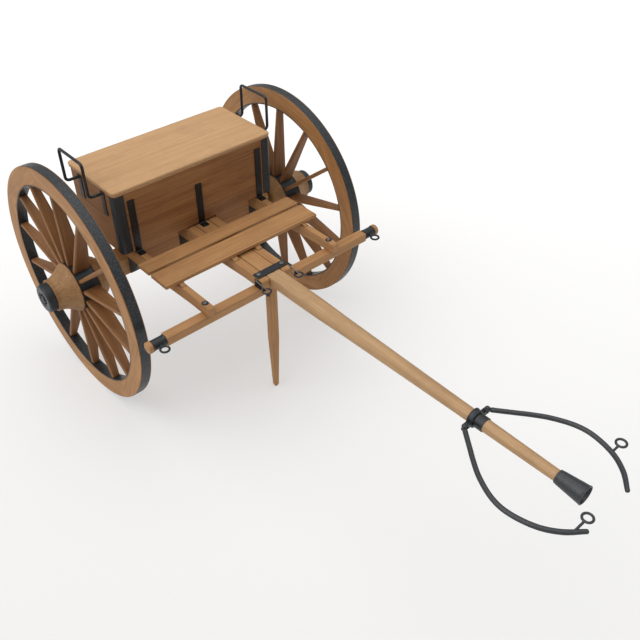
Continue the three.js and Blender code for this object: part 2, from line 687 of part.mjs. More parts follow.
function addChest() {
  place("chest_walls", chestWalls(), wood());
  place("chest_floor", chestFloor(), wood());
  place("chest_lid", chestLid(), wood());
  place("stay_middle", stay(0, STAY.topMiddle), iron());
  place("hinge_fixed", fixedHinge(), iron());
  place("hinge_lid", movingHinge(), iron());
  for (const [name, side] of SIDES) {
    place(`corner_iron_${name}`, cornerIron(side), iron());
    place(`stay_${name}`, stay(side * HOUND.y, STAY.topOuter), iron());
    place(`bail_${name}`, bail(side), iron());
  }
}

// ---------------------------------------------------------------- pole, yoke and prop

// Outline of the pole across its length, as [y, z] points about its axis.
function poleSection(halfWidth, halfHeight, corner) {
  const perCorner = 6;
  const points = [];
  for (const [quarter, y, z] of [[0, 1, 1], [1, -1, 1], [2, -1, -1], [3, 1, -1]]) {
    for (let k = 0; k < perCorner; k += 1) {
      const angle = ((quarter + (k + 0.5) / perCorner) * Math.PI) / 2;
      points.push([
        y * (halfWidth - corner) + corner * Math.cos(angle),
        z * (halfHeight - corner) + corner * Math.sin(angle),
      ]);
    }
  }
  return points;
}

function poleShaft() {
  const rings = POLE_SECTIONS.map(
    ([distance, ...size]) => poleSection(...size).map(([y, z]) => [distance, y, z]),
  );
  const count = rings[0].length;
  const last = (rings.length - 1) * count;
  const triangles = [];
  for (let k = 0; k < last; k += count) {
    for (let i = 0; i < count; i += 1) {
      const next = (i + 1) % count;
      triangles.push(k + i, k + next, k + count + i, k + next, k + count + next, k + count + i);
    }
  }
  for (let i = 1; i < count - 1; i += 1) {
    triangles.push(0, i + 1, i, last, last + i, last + i + 1);
  }
  const geometry = new THREE.BufferGeometry();
  geometry.setAttribute("position", new THREE.Float32BufferAttribute(rings.flat(2), 3));
  geometry.setIndex(triangles);
  return geometry.rotateY(POLE_AXIS.droop).translate(POLE_AXIS.x, 0, POLE_AXIS.z);
}

function pole() {
  const half = FORK.inner - GAP;
  return join([sideProfile(beamOutline(POLE_ROOT.rear, POLE_ROOT.front), -half, half), poleShaft()]);
}

function poleCap() {
  const { start, length, rearRadius, frontRadius, wall, recess } = POLE_CAP;
  const end = start + length;
  const floor = POLE_TIP + GAP;
  const bore = poleRadiusAt(POLE_TIP - 1) + 1;
  return along("x", turned([
    [0, floor], [bore, floor], [bore, start], [rearRadius - 2, start], [rearRadius, start + 3],
    [frontRadius - 2, end - 8], [frontRadius, end - 3], [frontRadius - 3, end],
    [frontRadius - wall - 4, end], [frontRadius - wall - 10, end - recess], [0, end - recess],
  ], 16));
}

function poleRadiusAt(distance) {
  const i = POLE_SECTIONS.findIndex(([x]) => x > distance);
  const [x0, r0] = POLE_SECTIONS[i - 1];
  const [x1, r1] = POLE_SECTIONS[i];
  return THREE.MathUtils.lerp(r0, r1, (distance - x0) / (x1 - x0));
}

function yokePin(side, clearance, bottom, top) {
  const pin = along("z", rod(YOKE_PIN.radius + clearance, bottom, top, 12));
  return pin.translate(YOKE_PIN.along, side * YOKE_PIN.out, 0);
}

// Clamp ring that turns on the pole, with a forked lug on each side.
function yokeCollar() {
  const { start, length, radius } = YOKE_COLLAR;
  const bore = poleRadiusAt(start) + 2 * GAP;
  const body = along("x", ring([
    [bore, start], [radius - 3, start], [radius, start + 3], [radius, start + length - 8],
    [radius - 6, start + length], [bore, start + length],
  ], 20));
  const { rear, front, reach, bottom, top } = YOKE_LUG;
  const lugs = SIDES.map(([, side]) => box(rear, front, ...span(side, radius - 12, reach), bottom, top));
  const cuts = SIDES.flatMap(([, side]) => [
    box(rear - 1, front + 1, ...span(side, YOKE_MOUTH.inner, reach + 1), YOKE_MOUTH.bottom, YOKE_MOUTH.top),
    yokePin(side, 2 * GAP, bottom - 1, top + 1),
  ]);
  return cut(join([body, ...lugs]), cuts);
}

function stopCollar() {
  const { start, length, radius } = STOP_COLLAR;
  const bore = poleRadiusAt(start) + 3 * GAP;
  return along("x", ring([
    [bore, start], [radius - 1, start], [radius, start + 1], [radius, start + length - 1],
    [radius - 1, start + length], [bore, start + length],
  ], 20));
}

// Curved arm: a tongue and pin in the collar's lug, then a round bar with one eye at its side.
function yokeArm(name, side) {
  const points = YOKE_ARM_PATH.map(([x, y]) => new THREE.Vector3(x, side * y, YOKE_ARM_Z));
  const curve = new THREE.CatmullRomCurve3(points, false, "centripetal");
  const pivot = poleLine.localToWorld(new THREE.Vector3(YOKE_PIN.along, side * YOKE_PIN.out, 0));
  pivot.z = YOKE_ARM_Z;
  const { radius, width, thickness } = YOKE_TONGUE;
  const disc = along("z", rod(radius, -thickness / 2, thickness / 2, 16)).translate(...pivot.toArray());
  const link = points[0].clone().sub(pivot);
  const neck = box(0, link.length() + 4, -width / 2, width / 2, -thickness / 2, thickness / 2);
  neck.rotateZ(Math.atan2(link.y, link.x)).translate(...pivot.toArray());
  const pin = along("z", rod(YOKE_PIN.radius, YOKE_LUG.bottom - 1, YOKE_LUG.top - 1, 12));
  pin.translate(...pivot.toArray());
  const { x, foot, centre } = YOKE_EYES[name];
  const stem = straight([x, foot, YOKE_ARM_Z], [x, centre - EYE_RING_RADIUS, YOKE_ARM_Z], EYE_WIRE_RADIUS);
  const round = bar(curve, YOKE_ARM_RADIUS, 22, 8);
  return join([disc, neck, pin, round, stem, eye(x, centre, YOKE_ARM_Z)]);
}

// Square leg that tapers to its foot. Its slotted head is rounded behind, so that it swings back.
function prop() {
  const { side, straightTo, footSide, tip, pivotZ } = PROP;
  const half = side / 2;
  const reach = SPLINTER.z - SPLINTER.height / 2 - GAP - pivotZ;
  const head = new THREE.Shape();
  head.moveTo(-half, straightTo - pivotZ);
  head.lineTo(half, straightTo - pivotZ);
  head.lineTo(half, reach);
  head.lineTo(0, reach);
  head.absarc(0, 0, reach, Math.PI / 2, Math.PI - Math.acos(half / reach));
  const slot = new THREE.Shape();
  slot.moveTo(-side, -PROP_TONGUE.radius - 2);
  slot.lineTo(PROP_TONGUE.radius + 1, -PROP_TONGUE.radius - 2);
  slot.lineTo(PROP_TONGUE.radius + 1, side);
  slot.lineTo(-side, side);
  const slotHalf = PROP_TONGUE.thickness / 2 + 2 * GAP;
  const stations = [[straightTo, side], [tip, footSide], [0, footSide * 0.6]];
  const leg = stations.slice(1).map(([bottom, bottomSide], i) => {
    const [top, topSide] = stations[i];
    const taper = new THREE.CylinderGeometry(
      topSide * Math.SQRT1_2, bottomSide * Math.SQRT1_2, top - bottom, 4, 1,
    );
    return taper.rotateY(Math.PI / 4).rotateX(Math.PI / 2).translate(0, 0, (top + bottom) / 2 - pivotZ);
  });
  const hole = rod(PROP_BOLT.radius + 2 * GAP, -side, side, 12);
  const blank = join([sideProfile(head, -half, half, 5), ...leg]);
  return cut(blank, [sideProfile(slot, -slotHalf, slotHalf), hole]).translate(PROP.x, 0, pivotZ);
}

// Iron tongue let into the splinter bar, with the bolt that the prop swings on.
function propBracket() {
  const { thickness, radius, rootTop } = PROP_TONGUE;
  const tongue = new THREE.Shape();
  tongue.moveTo(radius, 0);
  tongue.lineTo(radius, rootTop - PROP.pivotZ);
  tongue.lineTo(-radius, rootTop - PROP.pivotZ);
  tongue.lineTo(-radius, 0);
  tongue.absarc(0, 0, radius, Math.PI, Math.PI * 2);
  const plate = sideProfile(tongue, -thickness / 2, thickness / 2, 8);
  const { headInner, headOuter, headRadius } = PROP_BOLT;
  const bolt = rod(PROP_BOLT.radius, -headInner - 1, headInner + 1, 12);
  const heads = SIDES.map(([, side]) => rod(headRadius, ...span(side, headInner, headOuter), 6));
  return join([plate, bolt, ...heads]).translate(PROP.x, 0, PROP.pivotZ);
}

// Hook for a trailer's lunette, behind the axle.
function pintleHook() {
  const { z, plateSide, plateThickness, reach, radius, rise } = PINTLE;
  const face = -AXLE_BED.depth / 2 - GAP;
  const half = plateSide / 2;
  const plate = box(face - plateThickness, face, -half, half, z - half, z + half);
  const tipX = face - reach;
  const path = bentPath([[face - 4, 0, z], [tipX, 0, z], [tipX - 10, 0, z + rise]], 34);
  const hook = bar(path, radius, 12, 8);
  const point = new THREE.SphereGeometry(radius, 8, 6).translate(tipX - 10, 0, z + rise);
  return join([plate, hook, point]);
}

function addPole() {
  place("pole", pole(), wood());
  place("pole_cap", poleCap(), iron(), poleLine);
  place("yoke_collar", yokeCollar(), iron(), poleLine);
  place("stop_collar", stopCollar(), iron(), poleLine);
  for (const [name, side] of SIDES) place(`yoke_arm_${name}`, yokeArm(name, side), iron());
  place("prop", prop(), wood());
  place("prop_bracket", propBracket(), iron());
}

// ---------------------------------------------------------------- assembly

for (const [name, side] of SIDES) addWheel(name, side);
place("axletree", axletree(), iron());
place("axle_bed", axleBed(), wood());
place("pintle_hook", pintleHook(), iron());
addFrame();
addSplinterBar();
addFootboards();
addChest();
addPole();

limber.updateMatrixWorld(true);
const bounds = new THREE.Box3().setFromObject(limber, true);
const centre = bounds.getCenter(new THREE.Vector3());
limber.position.set(-centre.x, -centre.y, -bounds.min.z);

export default limber;
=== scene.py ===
"""Looks of a two-wheeled horse-drawn limber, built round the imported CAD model.

Lengths are millimetres from the middle of the axle, with X forward along the pole, Y to the
driver's left and Z up from the ground. at() turns them into metres in the model's frame.
"""

import json
import math
import random

import bmesh
import bpy
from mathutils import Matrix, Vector


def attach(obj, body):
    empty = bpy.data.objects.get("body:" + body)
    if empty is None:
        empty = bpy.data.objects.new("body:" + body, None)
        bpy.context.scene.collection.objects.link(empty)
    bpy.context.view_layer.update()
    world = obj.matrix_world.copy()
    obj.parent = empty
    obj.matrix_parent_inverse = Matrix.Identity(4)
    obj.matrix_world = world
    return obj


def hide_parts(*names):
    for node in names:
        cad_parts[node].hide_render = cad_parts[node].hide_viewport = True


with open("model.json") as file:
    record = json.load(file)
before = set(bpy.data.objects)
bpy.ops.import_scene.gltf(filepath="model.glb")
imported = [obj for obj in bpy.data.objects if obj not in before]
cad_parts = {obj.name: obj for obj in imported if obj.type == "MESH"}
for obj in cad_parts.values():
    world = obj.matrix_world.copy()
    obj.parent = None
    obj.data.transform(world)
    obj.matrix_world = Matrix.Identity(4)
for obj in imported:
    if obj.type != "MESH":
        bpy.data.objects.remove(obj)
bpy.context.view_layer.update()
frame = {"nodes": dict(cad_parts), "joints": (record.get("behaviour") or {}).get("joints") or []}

JOINTS = {joint["name"]: joint for joint in frame["joints"]}
AXLE_X = JOINTS["wheel_left_spin"]["pos_m"][0]
SIDES = {"left": 1, "right": -1}

# ---------------------------------------------------------------- sizes

WHEEL_RADIUS = 724
RIM_MIDDLE = 781  # from the limber's middle plane to each rim's middle plane
RIM_STEPS, HUB_STEPS = 168, 84
FELLOES = 7
FELLOE_JOINT = 0.3
SPOKES = 14
SPOKE_RADII = (97, 112, 148, 175, 220, 290, 370, 450, 530, 580, 600, 606, 608.2)
SPOKE_THICKNESS = 23.6
SPOKE_EDGE = 8.5

FRAME_BOTTOM = 804.3
FRAME_TOP = 897
BOARD_BOTTOM, BOARD_TOP, BOARD_Y = 912, 932, 541
BEAM_SEAT = 838.3  # underside of the frame's beams where they lie on the splinter bar
SPLINTER_X, SPLINTER_Z = 840.5, 811
HOUND_Y, HOUND_SPAN, HOUND_BOLT_X = 442, (421, 463), 829
FORK_OUTER = 104
STRAP_X, STRAP_BOLT_Y = 831, 81
RING_RADIUS, EYE_WIRE = 23.5, 5.8  # of every ring and eye; half the thickness of an eye's wire

CHEST_REAR, CHEST_FRONT, CHEST_Y = -302, 183, 538
CHEST_BOTTOM, CHEST_TOP = 909, 1284
CHEST_WALL = 22
FRONT_Y = 500  # half the front board, which stands between two corner posts
SKIRTS, SKIRT_BOTTOM = ((-420.7, -170), (104.3, 355)), 815
CHEST_CORNER = 20
LID_TOP = 1312
BAIL_HALF, BAIL_ROOT_Z, BAIL_TOP_Z = 126, 1266, 1470
IRON_FIT = 0.3

POLE_X, POLE_Z = 850, 869.4
POLE_DROOP = math.radians(0.24)
PROP_PIVOT_X, PROP_PIVOT_Z = 830.5, 738

# ---------------------------------------------------------------- outlines and paths


def at(x, y, z):
    return Vector((AXLE_X + x / 1000, y / 1000, z / 1000))


def span(side, near, far):
    """The lower and upper Y of what stands near to far from the middle plane on one side."""
    return sorted((side * near, side * far))


def rounded(corners, closed=True, steps=4):
    """Points of an outline or open profile whose corners, given as (u, v, radius), are rounded."""
    points = []
    count = len(corners)
    for i, (u, v, radius) in enumerate(corners):
        corner = Vector((u, v))
        if radius <= 0 or (not closed and i in (0, count - 1)):
            points.append(corner)
            continue
        back = (Vector(corners[i - 1][:2]) - corner).normalized()
        ahead = (Vector(corners[(i + 1) % count][:2]) - corner).normalized()
        half = back.angle(ahead) / 2
        centre = corner + (back + ahead).normalized() * radius / math.sin(half)
        start = corner + back * radius / math.tan(half) - centre
        end = corner + ahead * radius / math.tan(half) - centre
        turn = math.atan2(start.x * end.y - start.y * end.x, start.dot(end))
        for k in range(steps + 1):
            c, s = math.cos(turn * k / steps), math.sin(turn * k / steps)
            points.append(centre + Vector((start.x * c - start.y * s, start.x * s + start.y * c)))
    return points


def rectangle(u0, u1, v0, v1, radius, steps=4):
    return rounded([(u0, v0, radius), (u1, v0, radius), (u1, v1, radius), (u0, v1, radius)], True, steps)


def inset(loop, amount):
    """The outline moved inwards by an even amount."""
    count = len(loop)
    area = sum(loop[i - 1].x * p.y - p.x * loop[i - 1].y for i, p in enumerate(loop))
    turn = 1 if area > 0 else -1
    moved = []
    for i, p in enumerate(loop):
        before = (p - loop[i - 1]).normalized()
        after = (loop[(i + 1) % count] - p).normalized()
        normal = (before + after).normalized()
        normal = Vector((-normal.y, normal.x)) * turn
        stretch = max(0.35, math.cos(before.angle(after) / 2))
        moved.append(p + normal * amount / stretch)
    return moved


def bent(corners, bend, steps=8):
    """A path of straight stretches between 3-D corners, with each inner corner bent smoothly."""
    corners = [Vector(c) for c in corners]
    points = [corners[0]]
    for before, corner, after in zip(corners, corners[1:], corners[2:]):
        start = corner + (before - corner).normalized() * bend
        end = corner + (after - corner).normalized() * bend
        for k in range(steps + 1):
            t = k / steps
            points.append(start * (1 - t) ** 2 + corner * 2 * t * (1 - t) + end * t * t)
    return [*points, corners[-1]]


def spline(points, steps=8):
    """A centripetal Catmull-Rom curve through the points."""
    points = [Vector(p) for p in points]
    ends = [2 * points[0] - points[1], *points, 2 * points[-1] - points[-2]]
    curve = []
    for a, b, c, d in zip(ends, ends[1:], ends[2:], ends[3:]):
        t1 = (b - a).length ** 0.5
        t2 = t1 + (c - b).length ** 0.5
        t3 = t2 + (d - c).length ** 0.5
        for k in range(steps):
            t = t1 + (t2 - t1) * k / steps
            ab, bc, cd = a.lerp(b, t / t1), b.lerp(c, (t - t1) / (t2 - t1)), c.lerp(d, (t - t2) / (t3 - t2))
            abc, bcd = ab.lerp(bc, t / t2), bc.lerp(cd, (t - t1) / (t3 - t1))
            curve.append(abc.lerp(bcd, (t - t1) / (t2 - t1)))
    return [*curve, points[-1]]


def circle(centre, radius, axis="z", steps=48):
    """Points of a circle about an axis through its centre."""
    x, y, z = centre
    points = []
    for k in range(steps):
        c, s = radius * math.cos(2 * math.pi * k / steps), radius * math.sin(2 * math.pi * k / steps)
        points.append({"x": (x, y + c, z + s), "y": (x + c, y, z + s), "z": (x + c, y + s, z)}[axis])
    return [Vector(p) for p in points]


# ---------------------------------------------------------------- shells

GRAIN = {
    "x": lambda p: Vector((p.x, p.y, p.z)),
    "y": lambda p: Vector((p.y, p.x, p.z)),
    "z": lambda p: Vector((p.z, p.x, p.y)),
}
LAID = {
    "x": lambda u, v, level: (level, u, v),
    "y": lambda u, v, level: (u, level, v),
    "z": lambda u, v, level: (u, v, level),
}


class Shape:
    """Closed shells of one piece. Each point also keeps its place in the wood it is cut from."""

    def __init__(self, name):
        self.name = name
        self.chance = random.Random(name)
        self.points, self.faces, self.grain = [], [], []

    def skin(self, loops, grain="x", ring=False):
        """Skins equal loops of points: end to end with two caps, or round in a ring."""
        first, count, rows = len(self.points), len(loops[0]), len(loops)
        lie = GRAIN[grain] if isinstance(grain, str) else grain
        pith = [self.chance.uniform(50, 130) * self.chance.choice((-1, 1)) for _ in range(2)]
        offset = Vector((self.chance.uniform(-4000, 4000), *pith))
        for loop in loops:
            for point in loop:
                self.points.append(at(*point))
                self.grain.append((lie(Vector(point)) + offset) / 1000)
        for i in range(rows if ring else rows - 1):
            a, b = first + i * count, first + (i + 1) % rows * count
            for j in range(count):
                k = (j + 1) % count
                self.faces.append((a + j, a + k, b + k, b + j))
        if not ring:
            self.faces.append(tuple(range(first + count - 1, first - 1, -1)))
            last = first + (rows - 1) * count
            self.faces.append(tuple(range(last, last + count)))
        return self

    def prism(self, loop, low, high, axis="z", bevel=1.0, grain="x", steps=3):
        """An outline between two levels along an axis, with both rims rounded."""
        bend = [math.pi / 2 * k / steps for k in range(steps + 1)]
        near = [(low + bevel * (1 - math.cos(t)), bevel * (1 - math.sin(t))) for t in bend]
        far = [(high - bevel * (1 - math.cos(t)), bevel * (1 - math.sin(t))) for t in reversed(bend)]
        rims = [(level, inset(loop, amount)) for level, amount in near + far]
        return self.skin([[LAID[axis](p.x, p.y, level) for p in rim] for level, rim in rims], grain)

    def block(self, low, high, radius, axis="z", bevel=None, grain="x"):
        """A box between two corners with all its edges rounded."""
        u, v = [i for i in range(3) if "xyz"[i] != axis]
        level = "xyz".index(axis)
        loop = rectangle(low[u], high[u], low[v], high[v], radius)
        rim = radius if bevel is None else bevel
        return self.prism(loop, low[level], high[level], axis, rim, grain)

    def turned(self, profile, centre, axis="y", steps=48, sign=1, ring=False, grain="x"):
        """A solid of revolution: the profile is (radius, along) points from the centre."""
        level = centre["xyz".index(axis)]
        loops = []
        for radius, along in profile:
            middle = list(centre)
            middle["xyz".index(axis)] = level + sign * along
            loops.append(circle(middle, max(radius, 0.05), axis, steps))
        return self.skin(loops, grain, ring)

    def sweep(self, path, radius, sides=16, closed=False, grain="x"):
        """A round bar along a path, with domed ends. radius may be a function of 0 to 1."""
        path = [Vector(p) for p in path]
        count = len(path)
        size = radius if callable(radius) else lambda _: radius
        tangents = []
        for i in range(count):
            ahead = path[(i + 1) % count] if closed else path[min(i + 1, count - 1)]
            back = path[i - 1] if closed else path[max(i - 1, 0)]
            tangents.append((ahead - back).normalized())
        normal = tangents[0].orthogonal().normalized()
        loops = []
        for i, (point, tangent) in enumerate(zip(path, tangents)):
            normal = (normal - tangent * normal.dot(tangent)).normalized()
            loops.append(self._hoop(point, tangent, normal, size(i / (count - 1)), sides))
        if not closed:
            loops = [*self._dome(path[0], -tangents[0], loops[0])[::-1], *loops]
            loops = [*loops, *self._dome(path[-1], tangents[-1], loops[-1])]
        return self.skin(loops, grain, closed)

    @staticmethod
    def _hoop(point, tangent, normal, radius, sides):
        side = tangent.cross(normal)
        turn = [2 * math.pi * k / sides for k in range(sides)]
        return [point + (normal * math.cos(a) + side * math.sin(a)) * radius for a in turn]

    @staticmethod
    def _dome(centre, direction, hoop):
        radius = (hoop[0] - centre).length
        loops = []
        for t in (0.35, 0.7, 1.05, 1.4):
            push = direction * radius * math.sin(t) * 0.8
            loops.append([centre + (p - centre) * math.cos(t) + push for p in hoop])
        return loops

    def head(self, centre, axis, sign, radius, height, steps=24):
        """A domed bolt or rivet head that stands on a face."""
        dome = ((1, 0.3), (0.94, 0.52), (0.78, 0.76), (0.55, 0.91), (0.28, 0.98), (0.05, 1))
        profile = [(radius, -0.4), *((radius * r, height * h) for r, h in dome)]
        return self.turned(profile, centre, axis, steps, sign)

    def finish(self, body, slot, material, *nodes, sharp=38):
        """Makes the piece, rides it on its body and hides the CAD nodes that it stands for."""
        mesh = bpy.data.meshes.new(self.name)
        mesh.from_pydata(self.points, [], self.faces)
        work = bmesh.new()
        work.from_mesh(mesh)
        bmesh.ops.recalc_face_normals(work, faces=work.faces)
        work.to_mesh(mesh)
        work.free()
        grain = mesh.attributes.new("grain", "FLOAT_VECTOR", "POINT")
        grain.data.foreach_set("vector", [c for point in self.grain for c in point])
        return dress(mesh, body, material, nodes, sharp)


def dress(mesh, body, material, nodes, sharp=38):
    mesh.materials.append(material)
    mesh.shade_smooth()
    mesh.set_sharp_from_angle(angle=math.radians(sharp))
    made = bpy.data.objects.new(mesh.name, mesh)
    bpy.context.scene.collection.objects.link(made)
    weighted = made.modifiers.new("weighted_normals", "WEIGHTED_NORMAL")
    weighted.keep_sharp = True
    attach(made, body)
    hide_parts(*nodes)
    return made


def refined(node, body, material, bevel, grain="x"):
    """A copy of a CAD node with its hard edges rounded."""
    work = bmesh.new()
    work.from_mesh(frame["nodes"][node].data)
    bmesh.ops.remove_doubles(work, verts=work.verts, dist=1e-6)
    bmesh.ops.dissolve_limit(work, angle_limit=math.radians(1), verts=work.verts, edges=work.edges)
    hard = [e for e in work.edges if len(e.link_faces) == 2 and e.calc_face_angle() > math.radians(25)]
    bmesh.ops.bevel(
        work, geom=hard, offset=bevel / 1000, offset_type="OFFSET", segments=3, profile=0.5,
        affect="EDGES", clamp_overlap=True,
    )
    mesh = bpy.data.meshes.new(f"{node}_finished")
    work.to_mesh(mesh)
    work.free()
    layer = mesh.attributes.new("grain", "FLOAT_VECTOR", "POINT")
    shift = Vector((random.Random(node).uniform(-4, 4), 0.09, 0.07))
    layer.data.foreach_set("vector", [c for v in mesh.vertices for c in GRAIN[grain](v.co) + shift])
    return dress(mesh, body, material, [node])


# ---------------------------------------------------------------- materials


def add(tree, kind, inputs=None, **settings):
    node = tree.nodes.new(kind)
    for key, value in settings.items():
        setattr(node, key, value)
    for key, value in (inputs or {}).items():
        if isinstance(value, bpy.types.NodeSocket):
            tree.links.new(value, node.inputs[key])
        else:
            node.inputs[key].default_value = value
    return node


def maths(tree, operation, *values):
    node = add(tree, "ShaderNodeMath", dict(enumerate(values)), operation=operation)
    return node.outputs[0]


def stretched(tree, vector, along, across):
    scale = {0: vector, 1: (along, across, across)}
    return add(tree, "ShaderNodeVectorMath", scale, operation="MULTIPLY").outputs[0]


def noise(tree, vector, scale=1.0, detail=3.0, roughness=0.5):
    inputs = {"Vector": vector, "Scale": scale, "Detail": detail, "Roughness": roughness}
    return add(tree, "ShaderNodeTexNoise", inputs).outputs["Fac"]


def ramp(tree, factor, *stops):
    """A value or colour that follows (position, colour) stops."""
    node = add(tree, "ShaderNodeValToRGB", {"Fac": factor})
    elements = node.color_ramp.elements
    while len(elements) < len(stops):
        elements.new(0.5)
    for element, (position, colour) in zip(elements, stops):
        element.position = position
        value = colour if isinstance(colour, tuple) else (colour,) * 3
        element.color = (*value, 1)
    return node.outputs["Color"]


def mixed(tree, factor, a, b):
    return add(tree, "ShaderNodeMix", {0: factor, 6: a, 7: b}, data_type="RGBA", blend_type="MIX").outputs[2]


def edge_mask(tree, radius):
    """1 along hard and rounded edges, 0 on flat faces."""
    soft = add(tree, "ShaderNodeBevel", {"Radius": radius}, samples=4).outputs[0]
    flat = add(tree, "ShaderNodeNewGeometry").outputs["Normal"]
    dot = add(tree, "ShaderNodeVectorMath", {0: soft, 1: flat}, operation="DOT_PRODUCT").outputs["Value"]
    away = maths(tree, "SUBTRACT", 1.0, dot)
    return maths(tree, "MINIMUM", maths(tree, "MULTIPLY", away, 14.0), 1.0)


def blank(name):
    material = bpy.data.materials.new(name)
    material.use_nodes = True
    tree = material.node_tree
    tree.nodes.clear()
    shader = add(tree, "ShaderNodeBsdfPrincipled")
    output = add(tree, "ShaderNodeOutputMaterial", {"Surface": shader.outputs[0]})
    output.is_active_output = True
    return material, tree, shader


def set_inputs(tree, shader, inputs):
    for key, value in inputs.items():
        if isinstance(value, bpy.types.NodeSocket):
            tree.links.new(value, shader.inputs[key])
        else:
            shader.inputs[key].default_value = value


def timber(name, early, late, rings=130.0, swirl=1.0, edge=0.5):
    """Oiled timber: growth rings, long streaks, pores, edges darkened by handling; an edge above 1 lightens
    them instead as a painted highlight.
    """
    material, tree, shader = blank(name)
    stored = add(tree, "ShaderNodeAttribute", attribute_name="grain", attribute_type="GEOMETRY")
    grain = stored.outputs["Vector"]
    wander = noise(tree, stretched(tree, grain, 1.6 * swirl, 9.0), detail=2.0)
    across = add(tree, "ShaderNodeVectorMath", {0: grain, 1: (0, 1, 1)}, operation="MULTIPLY").outputs[0]
    depth = add(tree, "ShaderNodeVectorMath", {0: across}, operation="LENGTH").outputs["Value"]
    swept = maths(tree, "ADD", maths(tree, "MULTIPLY", depth, rings), maths(tree, "MULTIPLY", wander, 9.0))
    ring = ramp(tree, maths(tree, "FRACT", swept), (0.0, 0.0), (0.72, 0.55), (0.9, 1.0), (1.0, 0.0))
    board = noise(tree, stretched(tree, grain, 1.3 * swirl, 26.0), detail=3.0, roughness=0.55)
    streak = noise(tree, stretched(tree, grain, 2.6 * swirl, 105.0), detail=3.0, roughness=0.6)
    fibre = noise(tree, stretched(tree, grain, 9.0, 260.0), detail=4.0, roughness=0.65)
    pores = noise(tree, stretched(tree, grain, 45.0, 1500.0), detail=2.0)
    pore = ramp(tree, pores, (0.62, 0.0), (0.72, 1.0))
    figure = maths(tree, "MULTIPLY", ring, 0.12)
    layers = ((board, 0.3, 0.7, 0.36), (streak, 0.34, 0.66, 0.34), (fibre, 0.3, 0.7, 0.3))
    for layer, low, high, weight in layers:
        clear = ramp(tree, layer, (low, 0.0), (high, 1.0))
        figure = maths(tree, "ADD", figure, maths(tree, "MULTIPLY", clear, weight))
    colour = ramp(tree, figure, (0.12, early), (0.95, late))
    dark = tuple(c * 0.45 for c in late)
    colour = mixed(tree, maths(tree, "MULTIPLY", pore, 0.35), colour, (*dark, 1))
    # Edge tint: darker as wear when edge is below 1, lighter as a painted highlight when it is above 1.
    wear_and_highlight = maths(tree, "MULTIPLY", edge_mask(tree, 0.006), 0.6)
    colour = mixed(tree, wear_and_highlight, colour, (*[min(1, c * edge) for c in late], 1))
    grime = noise(tree, grain, scale=5.0, detail=4.0, roughness=0.6)
    soiled = ramp(tree, grime, (0.5, 0.0), (0.75, 0.22))
    colour = mixed(tree, soiled, colour, (*[c * 0.62 for c in late], 1))
    rough = maths(tree, "ADD", 0.44, maths(tree, "MULTIPLY", fibre, 0.16))
    rough = maths(tree, "ADD", rough, maths(tree, "MULTIPLY", pore, 0.15))
    relief = maths(tree, "SUBTRACT", maths(tree, "MULTIPLY", fibre, 0.6), maths(tree, "MULTIPLY", pore, 0.8))
    relief = maths(tree, "ADD", relief, maths(tree, "MULTIPLY", ring, 0.25))
    bump = add(tree, "ShaderNodeBump", {"Strength": 0.5, "Distance": 0.0006, "Height": relief})
    set_inputs(tree, shader, {
        "Base Color": colour, "Roughness": rough, "Normal": bump.outputs[0], "Specular IOR Level": 0.38,
    })
    return material


def forged(name, base, wear_and_highlight, speckle=0.5, roughness=0.36, grit=260.0):
    """Blackened iron: fine grit, soft hammer marks, brown patches, and bright edges that are part rubbed wear
    and part painted highlight.
    """
    material, tree, shader = blank(name)
    place = add(tree, "ShaderNodeTexCoord").outputs["Object"]
    grains = noise(tree, place, scale=grit, detail=4.0, roughness=0.75)
    hammer = noise(tree, place, scale=38.0, detail=2.0)
    patch = noise(tree, place, scale=9.0, detail=5.0, roughness=0.6)
    fleck = ramp(tree, grains, (0.44, 0.0), (0.72, 1.0))
    colour = mixed(tree, maths(tree, "MULTIPLY", fleck, speckle), (*base, 1), (*wear_and_highlight, 1))
    rust = ramp(tree, patch, (0.58, 0.0), (0.78, 0.3))
    colour = mixed(tree, rust, colour, (0.075, 0.045, 0.03, 1))
    # Rubbed edges, lightened partly as wear and partly as a painted highlight.
    edge = edge_mask(tree, 0.0022)
    scuffed_and_highlit = maths(tree, "MULTIPLY", edge, maths(tree, "MULTIPLY", hammer, 0.75))
    colour = mixed(tree, scuffed_and_highlit, colour, (*[min(1, c * 1.9) for c in wear_and_highlight], 1))
    rough = maths(tree, "ADD", roughness - 0.12, maths(tree, "MULTIPLY", patch, 0.22))
    rough = maths(tree, "SUBTRACT", rough, maths(tree, "MULTIPLY", scuffed_and_highlit, 0.12))
    relief = maths(tree, "ADD", maths(tree, "MULTIPLY", grains, 0.5), maths(tree, "MULTIPLY", hammer, 1.3))
    bump = add(tree, "ShaderNodeBump", {"Strength": 0.55, "Distance": 0.0011, "Height": relief})
    set_inputs(tree, shader, {
        "Base Color": colour, "Roughness": rough, "Normal": bump.outputs[0], "Metallic": 0.3,
        "Specular IOR Level": 0.7,
    })
    return material


WOOD = timber("limber_timber", (0.49, 0.282, 0.130), (0.31, 0.162, 0.070))
POLE_WOOD = timber("pole_timber", (0.500, 0.330, 0.185), (0.355, 0.220, 0.115))
WHEEL_WOOD = timber("rim_timber", (0.47, 0.258, 0.110), (0.26, 0.125, 0.045), rings=150.0)
# Darker wood for the spokes as painted shade on their broad faces, with their edges lightened as a painted
# highlight.
SHADED_SPOKE_WOOD = timber("spoke_timber_painted_shade", (0.33, 0.170, 0.075), (0.18, 0.085, 0.033), rings=150.0, edge=2.3)
NAVE_WOOD = timber("nave_timber", (0.40, 0.240, 0.115), (0.22, 0.115, 0.048), rings=170.0, swirl=5.0)
# The lid is the same wood as the chest, made paler as painted light on its top.
LIT_LID_WOOD = timber("lid_board_painted_light", (0.575, 0.362, 0.195), (0.455, 0.278, 0.145), rings=110.0)
